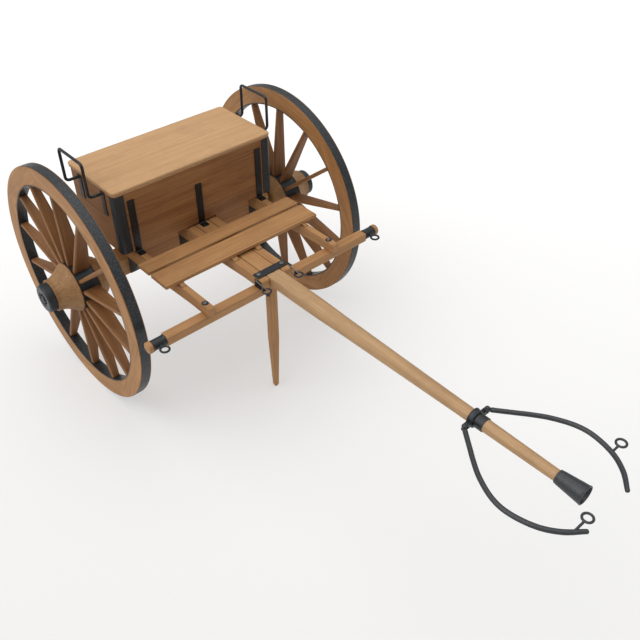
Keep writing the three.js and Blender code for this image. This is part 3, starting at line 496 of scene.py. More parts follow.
# The chest walls and floor are the lid's wood made darker as painted shade.
SHADED_CHEST_WOOD = timber("chest_boards_painted_shade", (0.36, 0.180, 0.072), (0.18, 0.080, 0.028), rings=110.0)
IRON = forged("black_iron", (0.018, 0.022, 0.026), (0.090, 0.098, 0.105))
STAY_IRON = forged("stay_iron", (0.007, 0.008, 0.009), (0.036, 0.038, 0.040))
YOKE_IRON = forged("yoke_iron", (0.036, 0.039, 0.043), (0.135, 0.142, 0.150))
# Paler iron for bolt heads and the trace hook rods, as a painted highlight.
HIGHLIT_BOLT_IRON = forged("bolt_iron", (0.095, 0.100, 0.105), (0.280, 0.290, 0.300), roughness=0.34)
# Paler iron for the knees, painted light for their lit faces.
LIT_KNEE_IRON = forged("knee_iron", (0.060, 0.072, 0.082), (0.150, 0.165, 0.178), roughness=0.42)
TYRE_IRON = forged("tyre_iron", (0.026, 0.030, 0.034), (0.110, 0.116, 0.122), 0.7, 0.42, 110.0)

# ---------------------------------------------------------------- wheels


def on_wheel(side, angle, profile):
    """The (radius, outward) profile as points of a wheel, at an angle from the top."""
    s, c = math.sin(angle), math.cos(angle)
    return [(r * s, side * (RIM_MIDDLE + w), WHEEL_RADIUS + r * c) for r, w in profile]


def wheel_ring(shape, side, profile):
    """A hoop whose (radius, outward) profile is turned about the axle."""
    loops = [on_wheel(side, 2 * math.pi * k / RIM_STEPS, profile) for k in range(RIM_STEPS)]
    return shape.skin(loops, "y", ring=True)


def hub_part(shape, side, profile):
    centre = (0, side * RIM_MIDDLE, WHEEL_RADIUS)
    return shape.turned(profile, centre, "y", HUB_STEPS, side, ring=True, grain="y")


def tyre(name, side):
    profile = rounded([(715, -27.5, 1), (WHEEL_RADIUS, -27.5, 3), (WHEEL_RADIUS, 27.5, 3), (715, 27.5, 1)])
    return wheel_ring(Shape(name), side, profile)


def felloes(name, side):
    shape = Shape(name)
    profile = rounded([
        (613.7, -32, 5), (722.6, -32, 1.8), (722.6, -27.9, 1), (714.6, -27.9, 0),
        (714.6, 27.9, 0), (722.6, 27.9, 1), (722.6, 32, 1.8), (613.7, 32, 5),
    ])
    steps = RIM_STEPS // FELLOES
    for i in range(FELLOES):
        middle = 2 * math.pi * i / FELLOES + math.pi / SPOKES
        half = math.pi / FELLOES - FELLOE_JOINT / 2 / WHEEL_RADIUS
        radial = Vector((math.sin(middle), 0, math.cos(middle)))
        chord = Vector((math.cos(middle), 0, -math.sin(middle)))
        hub = Vector((0, 0, WHEEL_RADIUS))
        angles = [middle - half + 2 * half * k / steps for k in range(steps + 1)]
        loops = [on_wheel(side, angle, profile) for angle in angles]
        shape.skin(loops, lambda p: Vector(((p - hub).dot(chord), p.y, (p - hub).dot(radial) - 660)))
    return shape


def rim_lining(name, side):
    profile = rounded([(609, -31, 1.2), (613.3, -31, 1), (613.3, 31, 1), (609, 31, 1.2)])
    return wheel_ring(Shape(name), side, profile)


def along_line(value, table):
    """Straight-line reading of a table of (place, value) pairs."""
    for (a, p), (b, q) in zip(table, table[1:]):
        if value <= b:
            return p + (q - p) * max(0, value - a) / (b - a)
    return table[-1][1]


def spokes(name, side):
    shape = Shape(name)
    for i in range(SPOKES):
        angle = 2 * math.pi * i / SPOKES
        out = Vector((math.sin(angle), 0, math.cos(angle)))
        flat = Vector((math.cos(angle), 0, -math.sin(angle)))
        hub = Vector((0, 0, WHEEL_RADIUS))
        loops = []
        for radius in SPOKE_RADII:
            inner = along_line(radius, [(97, -82.5), (148, -78.5), (608.4, -23)])
            outer = along_line(radius, [(97, 29.5), (148, 25.5), (608.4, 23)])
            shrink = along_line(radius, [(97, 0), (600, 0), (608.4, 2)])
            half = SPOKE_THICKNESS / 2 - shrink
            edge = min(SPOKE_EDGE, half - 1)
            section = rectangle(inner + shrink, outer - shrink, -half, half, edge)
            loops.append([
                hub + out * radius + flat * p.y + Vector((0, side * (RIM_MIDDLE + p.x), 0)) for p in section
            ])
        shape.skin(loops, lambda p: Vector(((p - hub).dot(out), p.y, (p - hub).dot(flat))))
    return shape


def nave_band(name, side):
    """Iron blocks between the spoke feet."""
    shape = Shape(name)
    for i in range(SPOKES):
        turn = 2 * math.pi * (i + 0.5) / SPOKES
        wedge = []
        for radius, order in ((103.5, 1), (147.8, -1)):
            half = math.pi / SPOKES - math.asin(12.6 / radius)
            for k in range(7):
                angle = turn + order * half * (2 * k / 6 - 1)
                wedge.append(Vector((radius * math.sin(angle), WHEEL_RADIUS + radius * math.cos(angle))))
        shape.prism(wedge, *span(side, RIM_MIDDLE - 82.8, RIM_MIDDLE + 29.8), "y", 2.2)
    return shape


def bell(points):
    return [(p.x, p.y) for p in spline([(r, w, 0) for r, w in points], 5)]


def nave_inner(name, side):
    flare = bell([(99, -158.5), (108, -153), (126, -130), (139.5, -108), (148.5, -93), (150.7, -88.5)])
    profile = [(42.5, -159.5), (94, -159.9), (97, -159.6), *flare, (149.5, -85), (146, -84), (42.5, -84)]
    return hub_part(Shape(name), side, profile)


def nave_outer(name, side):
    flare = bell([(150.8, 35), (147.5, 41.5), (131, 62), (112.5, 93), (101, 118), (95.6, 141), (96.6, 151)])
    profile = [(42.5, 31), (146, 31), (149.6, 32), *flare, (96, 155), (93, 157.6), (42.5, 157.9)]
    return hub_part(Shape(name), side, profile)


def nave_cap(name, side):
    profile = rounded([
        (32.7, -160, 0), (41.8, -160, 1), (41.8, 158.4, 0), (84, 158.4, 2.5), (84, 201, 9), (74, 207, 5),
        (47, 207, 2.5), (45, 203.5, 1.5), (36.5, 203.5, 1.5), (33.2, 207, 1.5), (33.2, 193, 0),
        (32.7, 193, 0),
    ])
    return hub_part(Shape(name), side, profile)


def axle_nut(name, side):
    shape = Shape(name)
    hexagon = [
        (27 * math.sin(math.pi * k / 3), WHEEL_RADIUS + 27 * math.cos(math.pi * k / 3), 2.5) for k in range(6)
    ]
    shape.prism(rounded(hexagon, steps=2), *span(side, RIM_MIDDLE + 193.3, RIM_MIDDLE + 205), "y", 2)
    stub = [(18, 204), (18, 208), (16, 210.2), (11, 210.9), (2, 211)]
    return shape.turned(stub, (0, side * RIM_MIDDLE, WHEEL_RADIUS), "y", 36, side)


WHEEL_PARTS = (
    ("tyre", tyre, "tyre_iron", TYRE_IRON), ("felloes", felloes, "wood", WHEEL_WOOD),
    ("rim_lining", rim_lining, "tyre_iron", TYRE_IRON), ("spokes", spokes, "wood", SHADED_SPOKE_WOOD),
    ("nave_inner", nave_inner, "wood", NAVE_WOOD), ("nave_band", nave_band, "iron", IRON),
    ("nave_outer", nave_outer, "wood", NAVE_WOOD), ("nave_cap", nave_cap, "iron", IRON),
)


def add_wheel(name, side):
    for part, make, slot, material in WHEEL_PARTS:
        node = f"{part}_{name}"
        make(f"{node}_finished", side).finish(f"wheel_{name}", slot, material, node)
    axle_nut(f"axle_nut_{name}_finished", side).finish("limber", "iron", IRON, f"axle_nut_{name}")


# ---------------------------------------------------------------- axle


def add_axle():
    tree = Shape("axletree_finished")
    tree.block((-30, -608, 694), (30, 608, 754), 4, axis="y", grain="y")
    for side in SIDES.values():
        collar = [(46, 608.4), (46, 612), (44, 614), (37, 616), (31.8, 618), (31.8, 973.5), (20, 974)]
        tree.turned(collar, (0, 0, WHEEL_RADIUS), "y", 40, side)
    tree.finish("limber", "iron", IRON, "axletree")

    bed = Shape("axle_bed_finished")
    section = rounded([
        (-65, 683, 7), (-32.4, 683, 2), (-32.4, 756.3, 0), (32.4, 756.3, 0), (32.4, 683, 2), (65, 683, 7),
        (65, 804, 5), (-65, 804, 5),
    ])
    bed.prism(section, -608, 608, "y", 5, "y").finish("limber", "wood", WOOD, "axle_bed")

    hook = Shape("pintle_hook_finished")
    hook.block((-75.3, -52, 692), (-65.3, 52, 796), 5, axis="x", bevel=2)
    for y in (-38, 38):
        for z in (706, 782):
            hook.head((-75.3, y, z), "x", -1, 8, 5)
    face = -65.3
    path = bent([(face - 6, 0, 744), (face - 150, 0, 744), (face - 160, 0, 824)], 34, 12)
    hook.sweep(path, lambda t: 15 - 3 * max(0, t - 0.6), 20)
    hook.turned([(27, -2), (27, 3), (24, 7), (17, 9), (15, 10)], (-75.3, 0, 744), "x", 32, -1)
    hook.finish("limber", "iron", IRON, "pintle_hook")


# ---------------------------------------------------------------- frame


def beam_outline(rear, front):
    return rounded([
        (rear, 824.3, 8), (rear + 20, FRAME_BOTTOM, 8), (172, FRAME_BOTTOM, 30), (720, BEAM_SEAT, 30),
        (front, BEAM_SEAT, 3), (front, FRAME_TOP, 21), (rear, FRAME_TOP, 4),
    ], steps=6)


def add_batten(shape, y, width):
    """The strip on a beam's top that carries the footboards, sloped down in front of them."""
    bottom, top = FRAME_TOP + 0.2, BOARD_BOTTOM - 0.3
    outline = rounded([
        (345, bottom, 2), (637, bottom, 0.5), (637, bottom + 2.8, 1.5), (612, top, 3), (345, top, 2),
    ])
    return shape.prism(outline, y - width / 2, y + width / 2, "y", 1.5)


def add_frame():
    knee = rounded([(65.5, 683, 2), (156.3, 757, 10), (171.3, 803.9, 3), (65.5, 803.9, 2)])
    for name, side in SIDES.items():
        hound = Shape(f"hound_{name}_finished")
        hound.prism(beam_outline(-300, 888), *span(side, *HOUND_SPAN), "y", 2.2)
        hound.finish("limber", "wood", WOOD, f"hound_{name}")
        washer, bolt = Shape(f"hound_washer_{name}"), Shape(f"hound_bolt_{name}")
        x, y = HOUND_BOLT_X, side * HOUND_Y
        washer.turned([(19, -0.3), (19, 1.6), (17.5, 2.4), (11, 2.4)], (x, y, FRAME_TOP), "z", 32)
        washer.finish("limber", "iron", STAY_IRON)
        # The bolt head is in paler iron as a painted highlight.
        bolt.head((x, y, FRAME_TOP + 2), "z", 1, 12.5, 6.5, 32).finish("limber", "iron", HIGHLIT_BOLT_IRON)
        fork = Shape(f"fork_{name}_finished")
        fork.prism(beam_outline(-150, 890), *span(side, 50.3, FORK_OUTER), "y", 2.4)
        add_batten(fork, side * 83.5, 34).finish("limber", "wood", WOOD, f"fork_{name}")
        brace = Shape(f"knee_{name}_finished")
        brace.prism(knee, *span(side, *HOUND_SPAN), "y", 1.8)
        brace.finish("limber", "iron", LIT_KNEE_IRON, f"knee_{name}")
    brace = Shape("knee_fork_finished")
    brace.prism(knee, -FORK_OUTER, FORK_OUTER, "y", 1.8).finish("limber", "iron", LIT_KNEE_IRON, "knee_fork")


def add_splinter_bar():
    bar = Shape("splinter_bar_finished")
    bar.block((SPLINTER_X - 31.5, -716, 784), (SPLINTER_X + 31.5, 716, 838), 7, axis="y", bevel=6, grain="y")
    for side in SIDES.values():
        knob = rounded([
            (26, 715, 0), (26, 796, 0), (31, 796, 1.5), (33, 800, 4), (33, 822, 7), (2, 822, 0),
        ], closed=False, steps=5)
        bar.turned(knob, (SPLINTER_X, 0, SPLINTER_Z), "y", 48, side, grain="y")
    bar.finish("limber", "wood", WOOD, "splinter_bar")

    strap, washers, heads = (Shape(f"fork_strap_{part}") for part in ("finished", "washers", "bolts"))
    top = FRAME_TOP + 7.8
    strap.block((STRAP_X - 24.5, -106, FRAME_TOP + 0.3), (STRAP_X + 24.5, 106, top), 5, bevel=1.8)
    for y in (-STRAP_BOLT_Y, STRAP_BOLT_Y):
        washers.turned([(19, -0.3), (19, 1.2), (17.5, 2), (11, 2)], (STRAP_X, y, top), "z", 32)
        # The bolt heads are in paler iron as a painted highlight.
        heads.head((STRAP_X, y, top + 2), "z", 1, 14.5, 7.4, 32)
    strap.finish("limber", "iron", IRON, "fork_strap")
    washers.finish("limber", "iron", STAY_IRON)
    heads.finish("limber", "iron", HIGHLIT_BOLT_IRON)

    for name, side in SIDES.items():
        sleeve = Shape(f"trace_sleeve_{name}_finished")
        tube = rounded([
            (27, 716.8, 0.5), (31.5, 716.8, 1.5), (31.5, 722, 1.5), (29.6, 724, 1), (29.6, 789, 1),
            (31.5, 791, 1.5), (31.5, 795.4, 1.5), (27, 795.4, 0.5),
        ], steps=3)
        sleeve.turned(tube, (SPLINTER_X, 0, SPLINTER_Z), "y", 48, side, ring=True)
        y, z = side * 756, SPLINTER_Z
        sleeve.sweep([(868, y, z), (872, y, z), (882, y, z)], lambda t: 8 - 2 * t)
        sleeve.sweep(circle((905, y, z), RING_RADIUS), EYE_WIRE, 14, closed=True)
        sleeve.finish("limber", "iron", IRON, f"trace_sleeve_{name}")
        add_trace_hook(name, side)


def add_trace_hook(name, side):
    hook = Shape(f"trace_hook_{name}_finished")
    face = FORK_OUTER + 5.3
    low, high = span(side, FORK_OUTER + IRON_FIT, face)
    hook.block((826, low, 840), (884, high, 889), 6, axis="y", bevel=1.4)
    for z in (849, 865):
        hook.head((836, side * face, z), "y", side, 7, 4.5)
    y, z = side * 114, 870
    hook.sweep(circle((918, y, z), 9.5, "y", 32), 3.6, 12, closed=True)
    hook.finish("limber", "iron", STAY_IRON, f"trace_hook_{name}")
    # The rod is in paler iron as a painted highlight.
    rod = Shape(f"trace_hook_rod_{name}")
    rod.sweep(bent([(838, side * 107, 886), (846, y, 887), (936, y, 877.7)], 4), lambda t: 4.6 - 0.9 * t, 14)
    rod.finish("limber", "iron", HIGHLIT_BOLT_IRON)
    ring = Shape(f"hook_ring_{name}_finished")
    ring.sweep(circle((941.5, y, z), RING_RADIUS, "z", 56), 4.8, 14, closed=True)
    ring.finish(f"hook_ring_{name}", "iron", IRON, f"hook_ring_{name}")


def add_footboards():
    for name, rear, front in (("rear", 336, 445), ("front", 463, 616)):
        board = Shape(f"footboard_{name}_finished")
        board.block((rear, -BOARD_Y, BOARD_BOTTOM), (front, BOARD_Y, BOARD_TOP), 7, bevel=2.6, grain="y")
        board.finish("limber", "wood", WOOD, f"footboard_{name}")
    for name, side in SIDES.items():
        batten = add_batten(Shape(f"batten_{name}_finished"), side * HOUND_Y, 31)
        batten.finish("limber", "wood", WOOD, f"batten_{name}")


# ---------------------------------------------------------------- chest


def chest_front_outline():
    """The front board as (y, z), with the two boards that reach down between the beams."""
    edge = [(-FRONT_Y, CHEST_BOTTOM)]
    for right, left in SKIRTS:
        edge += [(right, CHEST_BOTTOM), (right, SKIRT_BOTTOM), (left, SKIRT_BOTTOM), (left, CHEST_BOTTOM)]
    edge += [(FRONT_Y, CHEST_BOTTOM), (FRONT_Y, CHEST_TOP), (-FRONT_Y, CHEST_TOP)]
    return rounded([(y, z, 1.5) for y, z in edge])


def add_chest():
    walls = Shape("chest_walls_finished")
    rear_inner, inner = CHEST_REAR + CHEST_WALL, CHEST_FRONT - CHEST_WALL
    rear = rounded([
        (CHEST_REAR, -CHEST_Y, CHEST_CORNER), (rear_inner, -CHEST_Y, 1.5),
        (rear_inner, CHEST_Y, 1.5), (CHEST_REAR, CHEST_Y, CHEST_CORNER),
    ], steps=8)
    walls.prism(rear, CHEST_BOTTOM, CHEST_TOP, "z", 1.5, "y")
    walls.prism(chest_front_outline(), inner, CHEST_FRONT, "x", 1.2, "y")
    for side in SIDES.values():
        root, face = side * (FRONT_Y + 0.2), side * CHEST_Y
        corner = rounded([
            (inner, root, 0.8), (CHEST_FRONT, root, 0.8),
            (CHEST_FRONT, face, CHEST_CORNER), (inner, face, 1.5),
        ], steps=8)
        walls.prism(corner, CHEST_BOTTOM, CHEST_TOP, "z", 1.5, "z")
        low, high = span(side, CHEST_Y - CHEST_WALL, CHEST_Y)
        walls.block((rear_inner + 0.2, low, CHEST_BOTTOM), (inner - 0.2, high, CHEST_TOP), 1.5)
    walls.finish("limber", "chest_wood", SHADED_CHEST_WOOD, "chest_walls")

    floor = Shape("chest_floor_finished")
    floor.block((-279.7, -515.7, 912), (160.7, 515.7, 930), 2, bevel=1.5, grain="y")
    for y in (-HOUND_Y, -70, 70, HOUND_Y):
        floor.block((-262, y - 17, FRAME_TOP + 0.3), (143, y + 17, 911.9), 2, bevel=1.5)
    floor.finish("limber", "chest_wood", SHADED_CHEST_WOOD, "chest_floor")

    lid = Shape("chest_lid_finished")
    moulding = rectangle(CHEST_REAR - 5, CHEST_FRONT + 5, -CHEST_Y - 5, CHEST_Y + 5, 21, 8)
    lid.prism(moulding, CHEST_TOP + 0.3, 1295, "z", 3, "y")
    board = rectangle(CHEST_REAR - 8, CHEST_FRONT + 8, -CHEST_Y - 8, CHEST_Y + 8, 24, 10)
    lid.prism(board, 1294.3, LID_TOP, "z", 6, "y", steps=6)
    lid.finish("lid", "chest_wood", LIT_LID_WOOD, "chest_lid")

    add_chest_irons()
    add_hinge()


def add_chest_irons():
    thick = 3.5
    for name, side in SIDES.items():
        x, y = CHEST_FRONT + IRON_FIT, side * (CHEST_Y + IRON_FIT)
        iron = Shape(f"corner_iron_{name}_finished")
        wrap = rounded([
            (x - 48, y, 0), (x, y, CHEST_CORNER), (x, y - side * 60, 0), (x + thick, y - side * 60, 0),
            (x + thick, y + side * thick, CHEST_CORNER + thick), (x - 48, y + side * thick, 0),
        ], steps=10)
        iron.prism(wrap, 912, 1279, "z", 1.2)
        for z in (940, 1052, 1164, 1252):
            iron.head((x + thick, y - side * 44, z), "x", 1, 5, 1.6, 20)
            iron.head((x - 34, y + side * thick, z), "y", side, 5, 1.6, 20)
        iron.finish("limber", "iron", IRON, f"corner_iron_{name}")
        add_stay(f"stay_{name}", side * HOUND_Y, 1236)
        add_bail(name, side)
    add_stay("stay_middle", 0, 1166)


def add_stay(node, y, top):
    x, z = CHEST_FRONT + IRON_FIT, FRAME_TOP + IRON_FIT
    stay = Shape(f"{node}_finished")
    section = rounded([
        (x, z, 0), (x + 46, z, 1), (x + 46, z + 6, 1.5), (x + 6, z + 6, 7), (x + 6, top, 2), (x, top, 0),
    ], steps=5)
    stay.prism(section, y - 21, y + 21, "y", 1.3)
    for height in (top - 18, (top + 930) / 2, 952):
        stay.head((x + 6, y, height), "x", 1, 5.5, 1.8, 20)
    stay.head((x + 28, y, z + 6), "z", 1, 8, 4, 24)
    stay.finish("limber", "iron", STAY_IRON, node)


def add_bail(name, side):
    middle = (CHEST_REAR + CHEST_FRONT) / 2
    face = CHEST_Y + IRON_FIT
    bail = Shape(f"bail_{name}_finished")
    root, out = side * (face + 4), side * (face + 84)
    near, far = middle - BAIL_HALF, middle + BAIL_HALF
    path = bent([
        (near, root, BAIL_ROOT_Z), (near, out, BAIL_ROOT_Z), (near, out, BAIL_TOP_Z),
        (far, out, BAIL_TOP_Z), (far, out, BAIL_ROOT_Z), (far, root, BAIL_ROOT_Z),
    ], 27, 10)
    bail.sweep(path, 8.5, 20)
    low, high = span(side, face, face + 5)
    for x in (near, far):
        bail.block((x - 20, low, 1128), (x + 20, high, 1276), 3, axis="y", bevel=1.4)
        centre = (x, side * (face + 5), BAIL_ROOT_Z)
        bail.turned([(13, -0.3), (13, 2), (11.5, 4), (8.5, 6)], centre, "y", 28, side)
        for z in (1144, 1190, 1234):
            bail.head((x, side * (face + 5), z), "y", side, 5, 1.6, 20)
    bail.finish("limber", "iron", IRON, f"bail_{name}")


def add_hinge():
    """Two leaves behind the chest whose knuckles share a pin."""
    pin_x, pin_z, half, knuckles = CHEST_REAR - 15, 1287, 420, 5
    pitch = 2 * half / knuckles
    barrel = rounded([(3.4, 0.4, 0), (6, 0.4, 0.8), (6, pitch - 0.4, 0.8), (3.4, pitch - 0.4, 0)], steps=2)
    fixed, moving = Shape("hinge_fixed_finished"), Shape("hinge_lid_finished")
    face, lid_face = CHEST_REAR - IRON_FIT, CHEST_REAR - 8 - IRON_FIT
    fixed.block((face - 2.5, -half, 1217), (face, half, 1277), 2, axis="x", bevel=0.8)
    moving.block((lid_face - 2.5, -half, 1295), (lid_face, half, 1308.7), 1.2, axis="x", bevel=0.8)
    fixed.turned([(2.9, 0), (2.9, 2 * half)], (pin_x, -half, pin_z), "y", 20)
    for i in range(knuckles):
        start = -half + i * pitch
        shape, reach, low = (fixed, face, 1274) if i % 2 == 0 else (moving, lid_face, 1295)
        shape.turned(barrel, (pin_x, start, pin_z), "y", 24, ring=True)
        first, last = start + 0.5, start + pitch - 0.5
        shape.block((pin_x - 2, first, low), (reach, last, low + 2.6), 0.6, bevel=0.5)
        bottom, top = (1274, 1282.5) if i % 2 == 0 else (1291.5, 1297)
        shape.block((pin_x - 2, first, bottom), (pin_x + 1, last, top), 0.6, bevel=0.5)
    for i in range(7):
        y = -390 + i * 130
        fixed.head((face - 2.5, y, 1234), "x", -1, 4.5, 1.4, 18)
    fixed.finish("limber", "iron", IRON, "hinge_fixed")
    moving.finish("lid", "iron", IRON, "hinge_lid")


# ---------------------------------------------------------------- pole, yoke and prop


def on_pole(distance, across=0, up=0):
    """A point given along, beside and above the round pole's axis."""
    c, s = math.cos(POLE_DROOP), math.sin(POLE_DROOP)
    return Vector((POLE_X + distance * c + up * s, across, POLE_Z - distance * s + up * c))


def about_pole(shape, profile, steps=48):
    """A hollow solid of revolution about the pole's axis."""
    turn = [2 * math.pi * k / steps for k in range(steps)]
    loops = [[on_pole(along, r * math.cos(a), r * math.sin(a)) for a in turn] for r, along in profile]
    return shape.skin(loops, "x", ring=True)


# Sections of the pole: how far along, half width, half height and the radius of its corners.
POLE_SECTIONS = (
    (-20, 48, 27.4, 8), (0, 48.3, 27.4, 8), (40, 48.5, 28.4, 9), (120, 48.3, 32, 11), (250, 48.4, 38, 22),
    (400, 48.4, 46, 38), (600, 46, 46, 45.9), (1250, 35.5, 35.5, 35.4), (1889.5, 27.5, 27.5, 27.4),
)


def pole_section(distance):
    wide, high, corner = (
        along_line(distance, [(row[0], row[column]) for row in POLE_SECTIONS]) for column in (1, 2, 3)
    )
    section = rectangle(-wide, wide, -high, high, corner, 12)
    return [on_pole(distance, p.x, p.y) for p in section]


def add_pole():
    root = Shape("pole_root")
    root.prism(beam_outline(-60, 850), -47.4, 47.4, "y", 2.4).finish("limber", "wood", WOOD)
    pole = Shape("pole_finished")
    stations = (-20, *range(0, 161, 40), 205, *range(250, 601, 50), *range(700, 1900, 150), 1889.5)
    pole.skin([pole_section(s) for s in stations])
    pole.finish("limber", "wood", POLE_WOOD, "pole")

    cap = Shape("pole_cap_finished")
    about_pole(cap, rounded([
        (28.6, 1884, 0), (33, 1884, 2), (34, 1893, 3), (35, 1896, 2), (47, 2014, 6), (49, 2019, 2.5),
        (47, 2022, 2.5), (42, 2022, 2), (36, 2002, 4), (2, 2002, 0), (2, 1891, 0), (28.6, 1891, 0),
    ]))
    cap.finish("limber", "iron", YOKE_IRON, "pole_cap")

    stop = Shape("stop_collar_finished")
    about_pole(stop, rounded([(34.6, 1456.8, 0), (36.5, 1456.8, 1.5), (36.5, 1503, 2), (34.6, 1503, 0)]))
    stop.finish("limber", "iron", IRON, "stop_collar")
    add_yoke()


def add_yoke():
    collar = Shape("yoke_collar_finished")
    about_pole(collar, rounded([
        (33.6, 1424, 1), (46.5, 1424, 3), (46.5, 1430, 2), (44.8, 1433, 1), (44.8, 1447, 1), (46.5, 1450, 2),
        (46.5, 1453, 3), (41, 1456, 2), (33.6, 1456, 1),
    ]))
    rear, front, bottom, top = 1433, 1456, -12.8, 14.1
    for side in SIDES.values():
        foot, tip = side * 40, side * 94
        lug = rounded([(rear, foot, 0), (rear, tip, 9), (front, tip, 9), (front, foot, 0)])
        collar.skin(lug_loops(lug, bottom, bottom + 7))
        collar.skin(lug_loops(lug, top - 7, top))
        low, high = span(side, 34, 64)
        root = rounded([(rear, low, 1), (front, low, 1), (front, high, 1), (rear, high, 1)])
        collar.skin(lug_loops(root, bottom, top))
    collar.finish("yoke", "iron", IRON, "yoke_collar")
    for name, side in SIDES.items():
        add_yoke_arm(name, side)


def lug_loops(outline, bottom, top, bevel=1.2):
    levels = [(bottom, bevel), (bottom + bevel * 0.4, bevel * 0.3), (bottom + bevel, 0)]
    levels += [(top - bevel, 0), (top - bevel * 0.4, bevel * 0.3), (top, bevel)]
    return [[on_pole(p.x, p.y, level) for p in inset(outline, amount)] for level, amount in levels]


YOKE_Z, YOKE_PIVOT = 864, (2294.5, 82)
YOKE_PATH = [
    (2310, 94.5), (2397, 163.5), (2441, 198.5), (2520, 253), (2625, 299),
    (2705, 307), (2825, 277), (2907, 223), (2972, 148),
]
YOKE_EYES = {"left": (2816, 280, 358), "right": (2938, -190, -90)}


def add_yoke_arm(name, side):
    arm = Shape(f"yoke_arm_{name}_finished")
    path = spline([(x, side * y, YOKE_Z) for x, y in YOKE_PATH], 10)
    arm.sweep(path, lambda t: 12 - 1.5 * max(0, t - 0.9) / 0.1, 20)
    pivot = Vector((YOKE_PIVOT[0], side * YOKE_PIVOT[1], YOKE_Z))
    arm.turned([(11.3, -5.2), (11.5, -4), (11.5, 4), (11.3, 5.2)], pivot, "z", 32)
    ahead = (path[0] - pivot).normalized()
    beside = Vector((-ahead.y, ahead.x, 0))
    loops = []
    for along, wide, thick in ((0, 7.6, 5.2), (10, 7.6, 5.2), (16, 8.6, 6.8), (22, 9.6, 9.2), (28, 11, 11)):
        section = rectangle(-wide, wide, -thick, thick, min(wide, thick) * 0.45)
        loops.append([pivot + ahead * along + beside * p.x + Vector((0, 0, p.y)) for p in section])
    arm.skin(loops)
    arm.turned([(4.9, -15), (4.9, 13), (4, 13.9)], pivot, "z", 24)
    arm.head((pivot.x, pivot.y, YOKE_Z + 13.2), "z", 1, 9.5, 4.5)
    x, foot, centre = YOKE_EYES[name]
    inner = centre - RING_RADIUS
    arm.sweep([(x, foot, YOKE_Z), (x, (foot + inner) / 2, YOKE_Z), (x, inner + 2, YOKE_Z)], EYE_WIRE, 14)
    arm.sweep(circle((x, centre, YOKE_Z), RING_RADIUS, "z", 56), EYE_WIRE, 14, closed=True)
    arm.finish(f"yoke_arm_{name}", "iron", YOKE_IRON, f"yoke_arm_{name}")


def add_prop():
    refined("prop", "prop", WOOD, 3, "z")
    bracket = Shape("prop_bracket_finished")
    x, z = PROP_PIVOT_X, PROP_PIVOT_Z
    low, high = z - 16, 822
    tongue = rounded([(x + 16, low, 15), (x + 16, high, 1), (x - 16, high, 1), (x - 16, low, 15)], steps=8)
    bracket.prism(tongue, -4, 4, "y", 0.8)
    bracket.turned([(8, -26), (8, 26)], (x, 0, z), "y", 32)
    hexagon = rounded([
        (x + 12 * math.cos(math.pi * k / 3), z + 12 * math.sin(math.pi * k / 3), 1.2) for k in range(6)
    ], steps=2)
    for side in SIDES.values():
        bracket.turned([(14, 24.4), (14, 26), (12.5, 26.6)], (x, 0, z), "y", 32, side)
        bracket.prism(hexagon, *span(side, 26, 34.5), "y", 1.4)
    bracket.finish("limber", "iron", IRON, "prop_bracket")


# ---------------------------------------------------------------- studio

FLOOR_COLOUR = (0.47, 0.467, 0.465, 1)
FLOOR_GLOW = (0.26, 0.395)
BACKDROP_COLOUR = (1.22, 1.22, 1.215, 1)


def add_floor():
    """Pale paper that glows a little, more so towards the back, so that shadows on it stay soft."""
    mesh = bpy.data.meshes.new("studio_floor")
    mesh.from_pydata([(-40, -40, 0), (40, -40, 0), (40, 40, 0), (-40, 40, 0)], [], [(0, 1, 2, 3)])
    material, tree, shader = blank("studio_paper")
    place = add(tree, "ShaderNodeTexCoord").outputs["Object"]
    aim = {0: place, 1: (-0.74, 0.67, 0)}
    back = add(tree, "ShaderNodeVectorMath", aim, operation="DOT_PRODUCT").outputs["Value"]
    depth = maths(tree, "ADD", maths(tree, "MULTIPLY", back, 0.2), 0.5)
    glow = ramp(tree, depth, (0.0, FLOOR_GLOW[0]), (1.0, FLOOR_GLOW[1]))
    set_inputs(tree, shader, {
        "Base Color": FLOOR_COLOUR, "Roughness": 0.9, "Specular IOR Level": 0.1,
        "Emission Color": glow, "Emission Strength": 1.0,
    })
    mesh.materials.append(material)
    floor = bpy.data.objects.new("studio_floor", mesh)
    bpy.context.scene.collection.objects.link(floor)


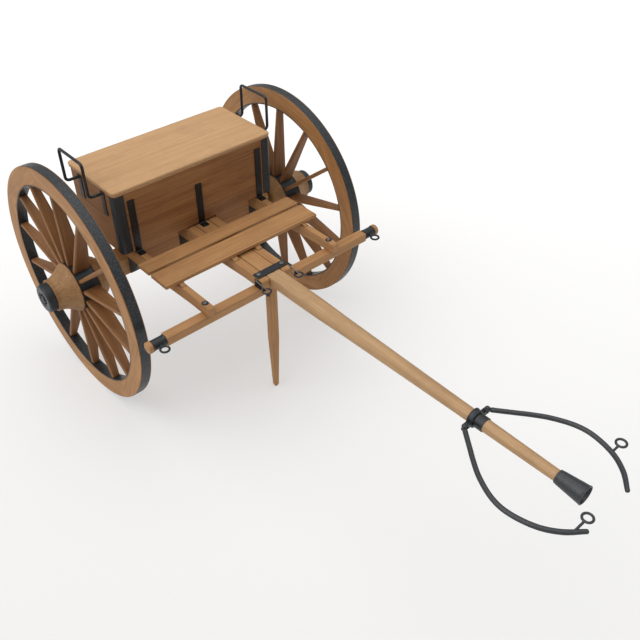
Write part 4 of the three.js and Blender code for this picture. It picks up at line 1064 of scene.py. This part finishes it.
def add_sun(name, towards, strength, spread):
    """Even light from one side of the sky. spread is the angle that it fills, in degrees."""
    lamp = bpy.data.lights.new(name, "SUN")
    lamp.energy = strength
    lamp.angle = math.radians(spread)
    light = bpy.data.objects.new(name, lamp)
    light.rotation_euler = Vector(towards).to_track_quat("-Z", "Y").to_euler()
    bpy.context.scene.collection.objects.link(light)


def add_lights():
    world = bpy.data.worlds.new("studio_air")
    world.use_nodes = True
    tree = world.node_tree
    direction = add(tree, "ShaderNodeTexCoord").outputs["Generated"]
    height = add(tree, "ShaderNodeSeparateXYZ", {0: direction}).outputs["Z"]
    colour = ramp(tree, height, (0.0, (0.30, 0.305, 0.31)), (0.9, (1.0, 0.995, 0.985)))
    seen = add(tree, "ShaderNodeLightPath").outputs["Is Camera Ray"]
    colour = mixed(tree, seen, colour, BACKDROP_COLOUR)  # a pale backdrop above the floor's far edge
    set_inputs(tree, tree.nodes["Background"], {"Color": colour, "Strength": 0.76})
    bpy.context.scene.world = world
    add_sun("ceiling", (0.1, 0.1, -1), 0.75, 80)
    add_sun("left_window", (0.2, 0.8, -0.6), 0.8, 60)


def set_tones():
    view = bpy.context.scene.view_settings
    view.view_transform = "Standard"
    view.look = "Medium High Contrast"


VIEW_AZIMUTH, VIEW_ELEVATION = math.radians(47.876), math.radians(39.994)
VIEW_PLACE = (3608.1, -2138.0, 3465.1)
VIEW_LENS = 43.73


def add_camera():
    level = math.cos(VIEW_ELEVATION)
    back = Vector((math.sin(VIEW_AZIMUTH) * level, -math.cos(VIEW_AZIMUTH) * level, math.sin(VIEW_ELEVATION)))
    data = bpy.data.cameras.new("photo_view")
    data.sensor_fit = "HORIZONTAL"
    data.sensor_width = 36
    data.lens = VIEW_LENS
    data.clip_start, data.clip_end = 0.1, 200
    camera = bpy.data.objects.new("photo_view", data)
    camera.location = at(*VIEW_PLACE)
    camera.rotation_mode = "QUATERNION"
    camera.rotation_quaternion = (-back).to_track_quat("-Z", "Y")
    bpy.context.scene.collection.objects.link(camera)
    bpy.context.scene.camera = camera


for side_name, side_sign in SIDES.items():
    add_wheel(side_name, side_sign)
add_axle()
add_frame()
add_splinter_bar()
add_footboards()
add_chest()
add_pole()
add_prop()
add_floor()
add_lights()
set_tones()
add_camera()
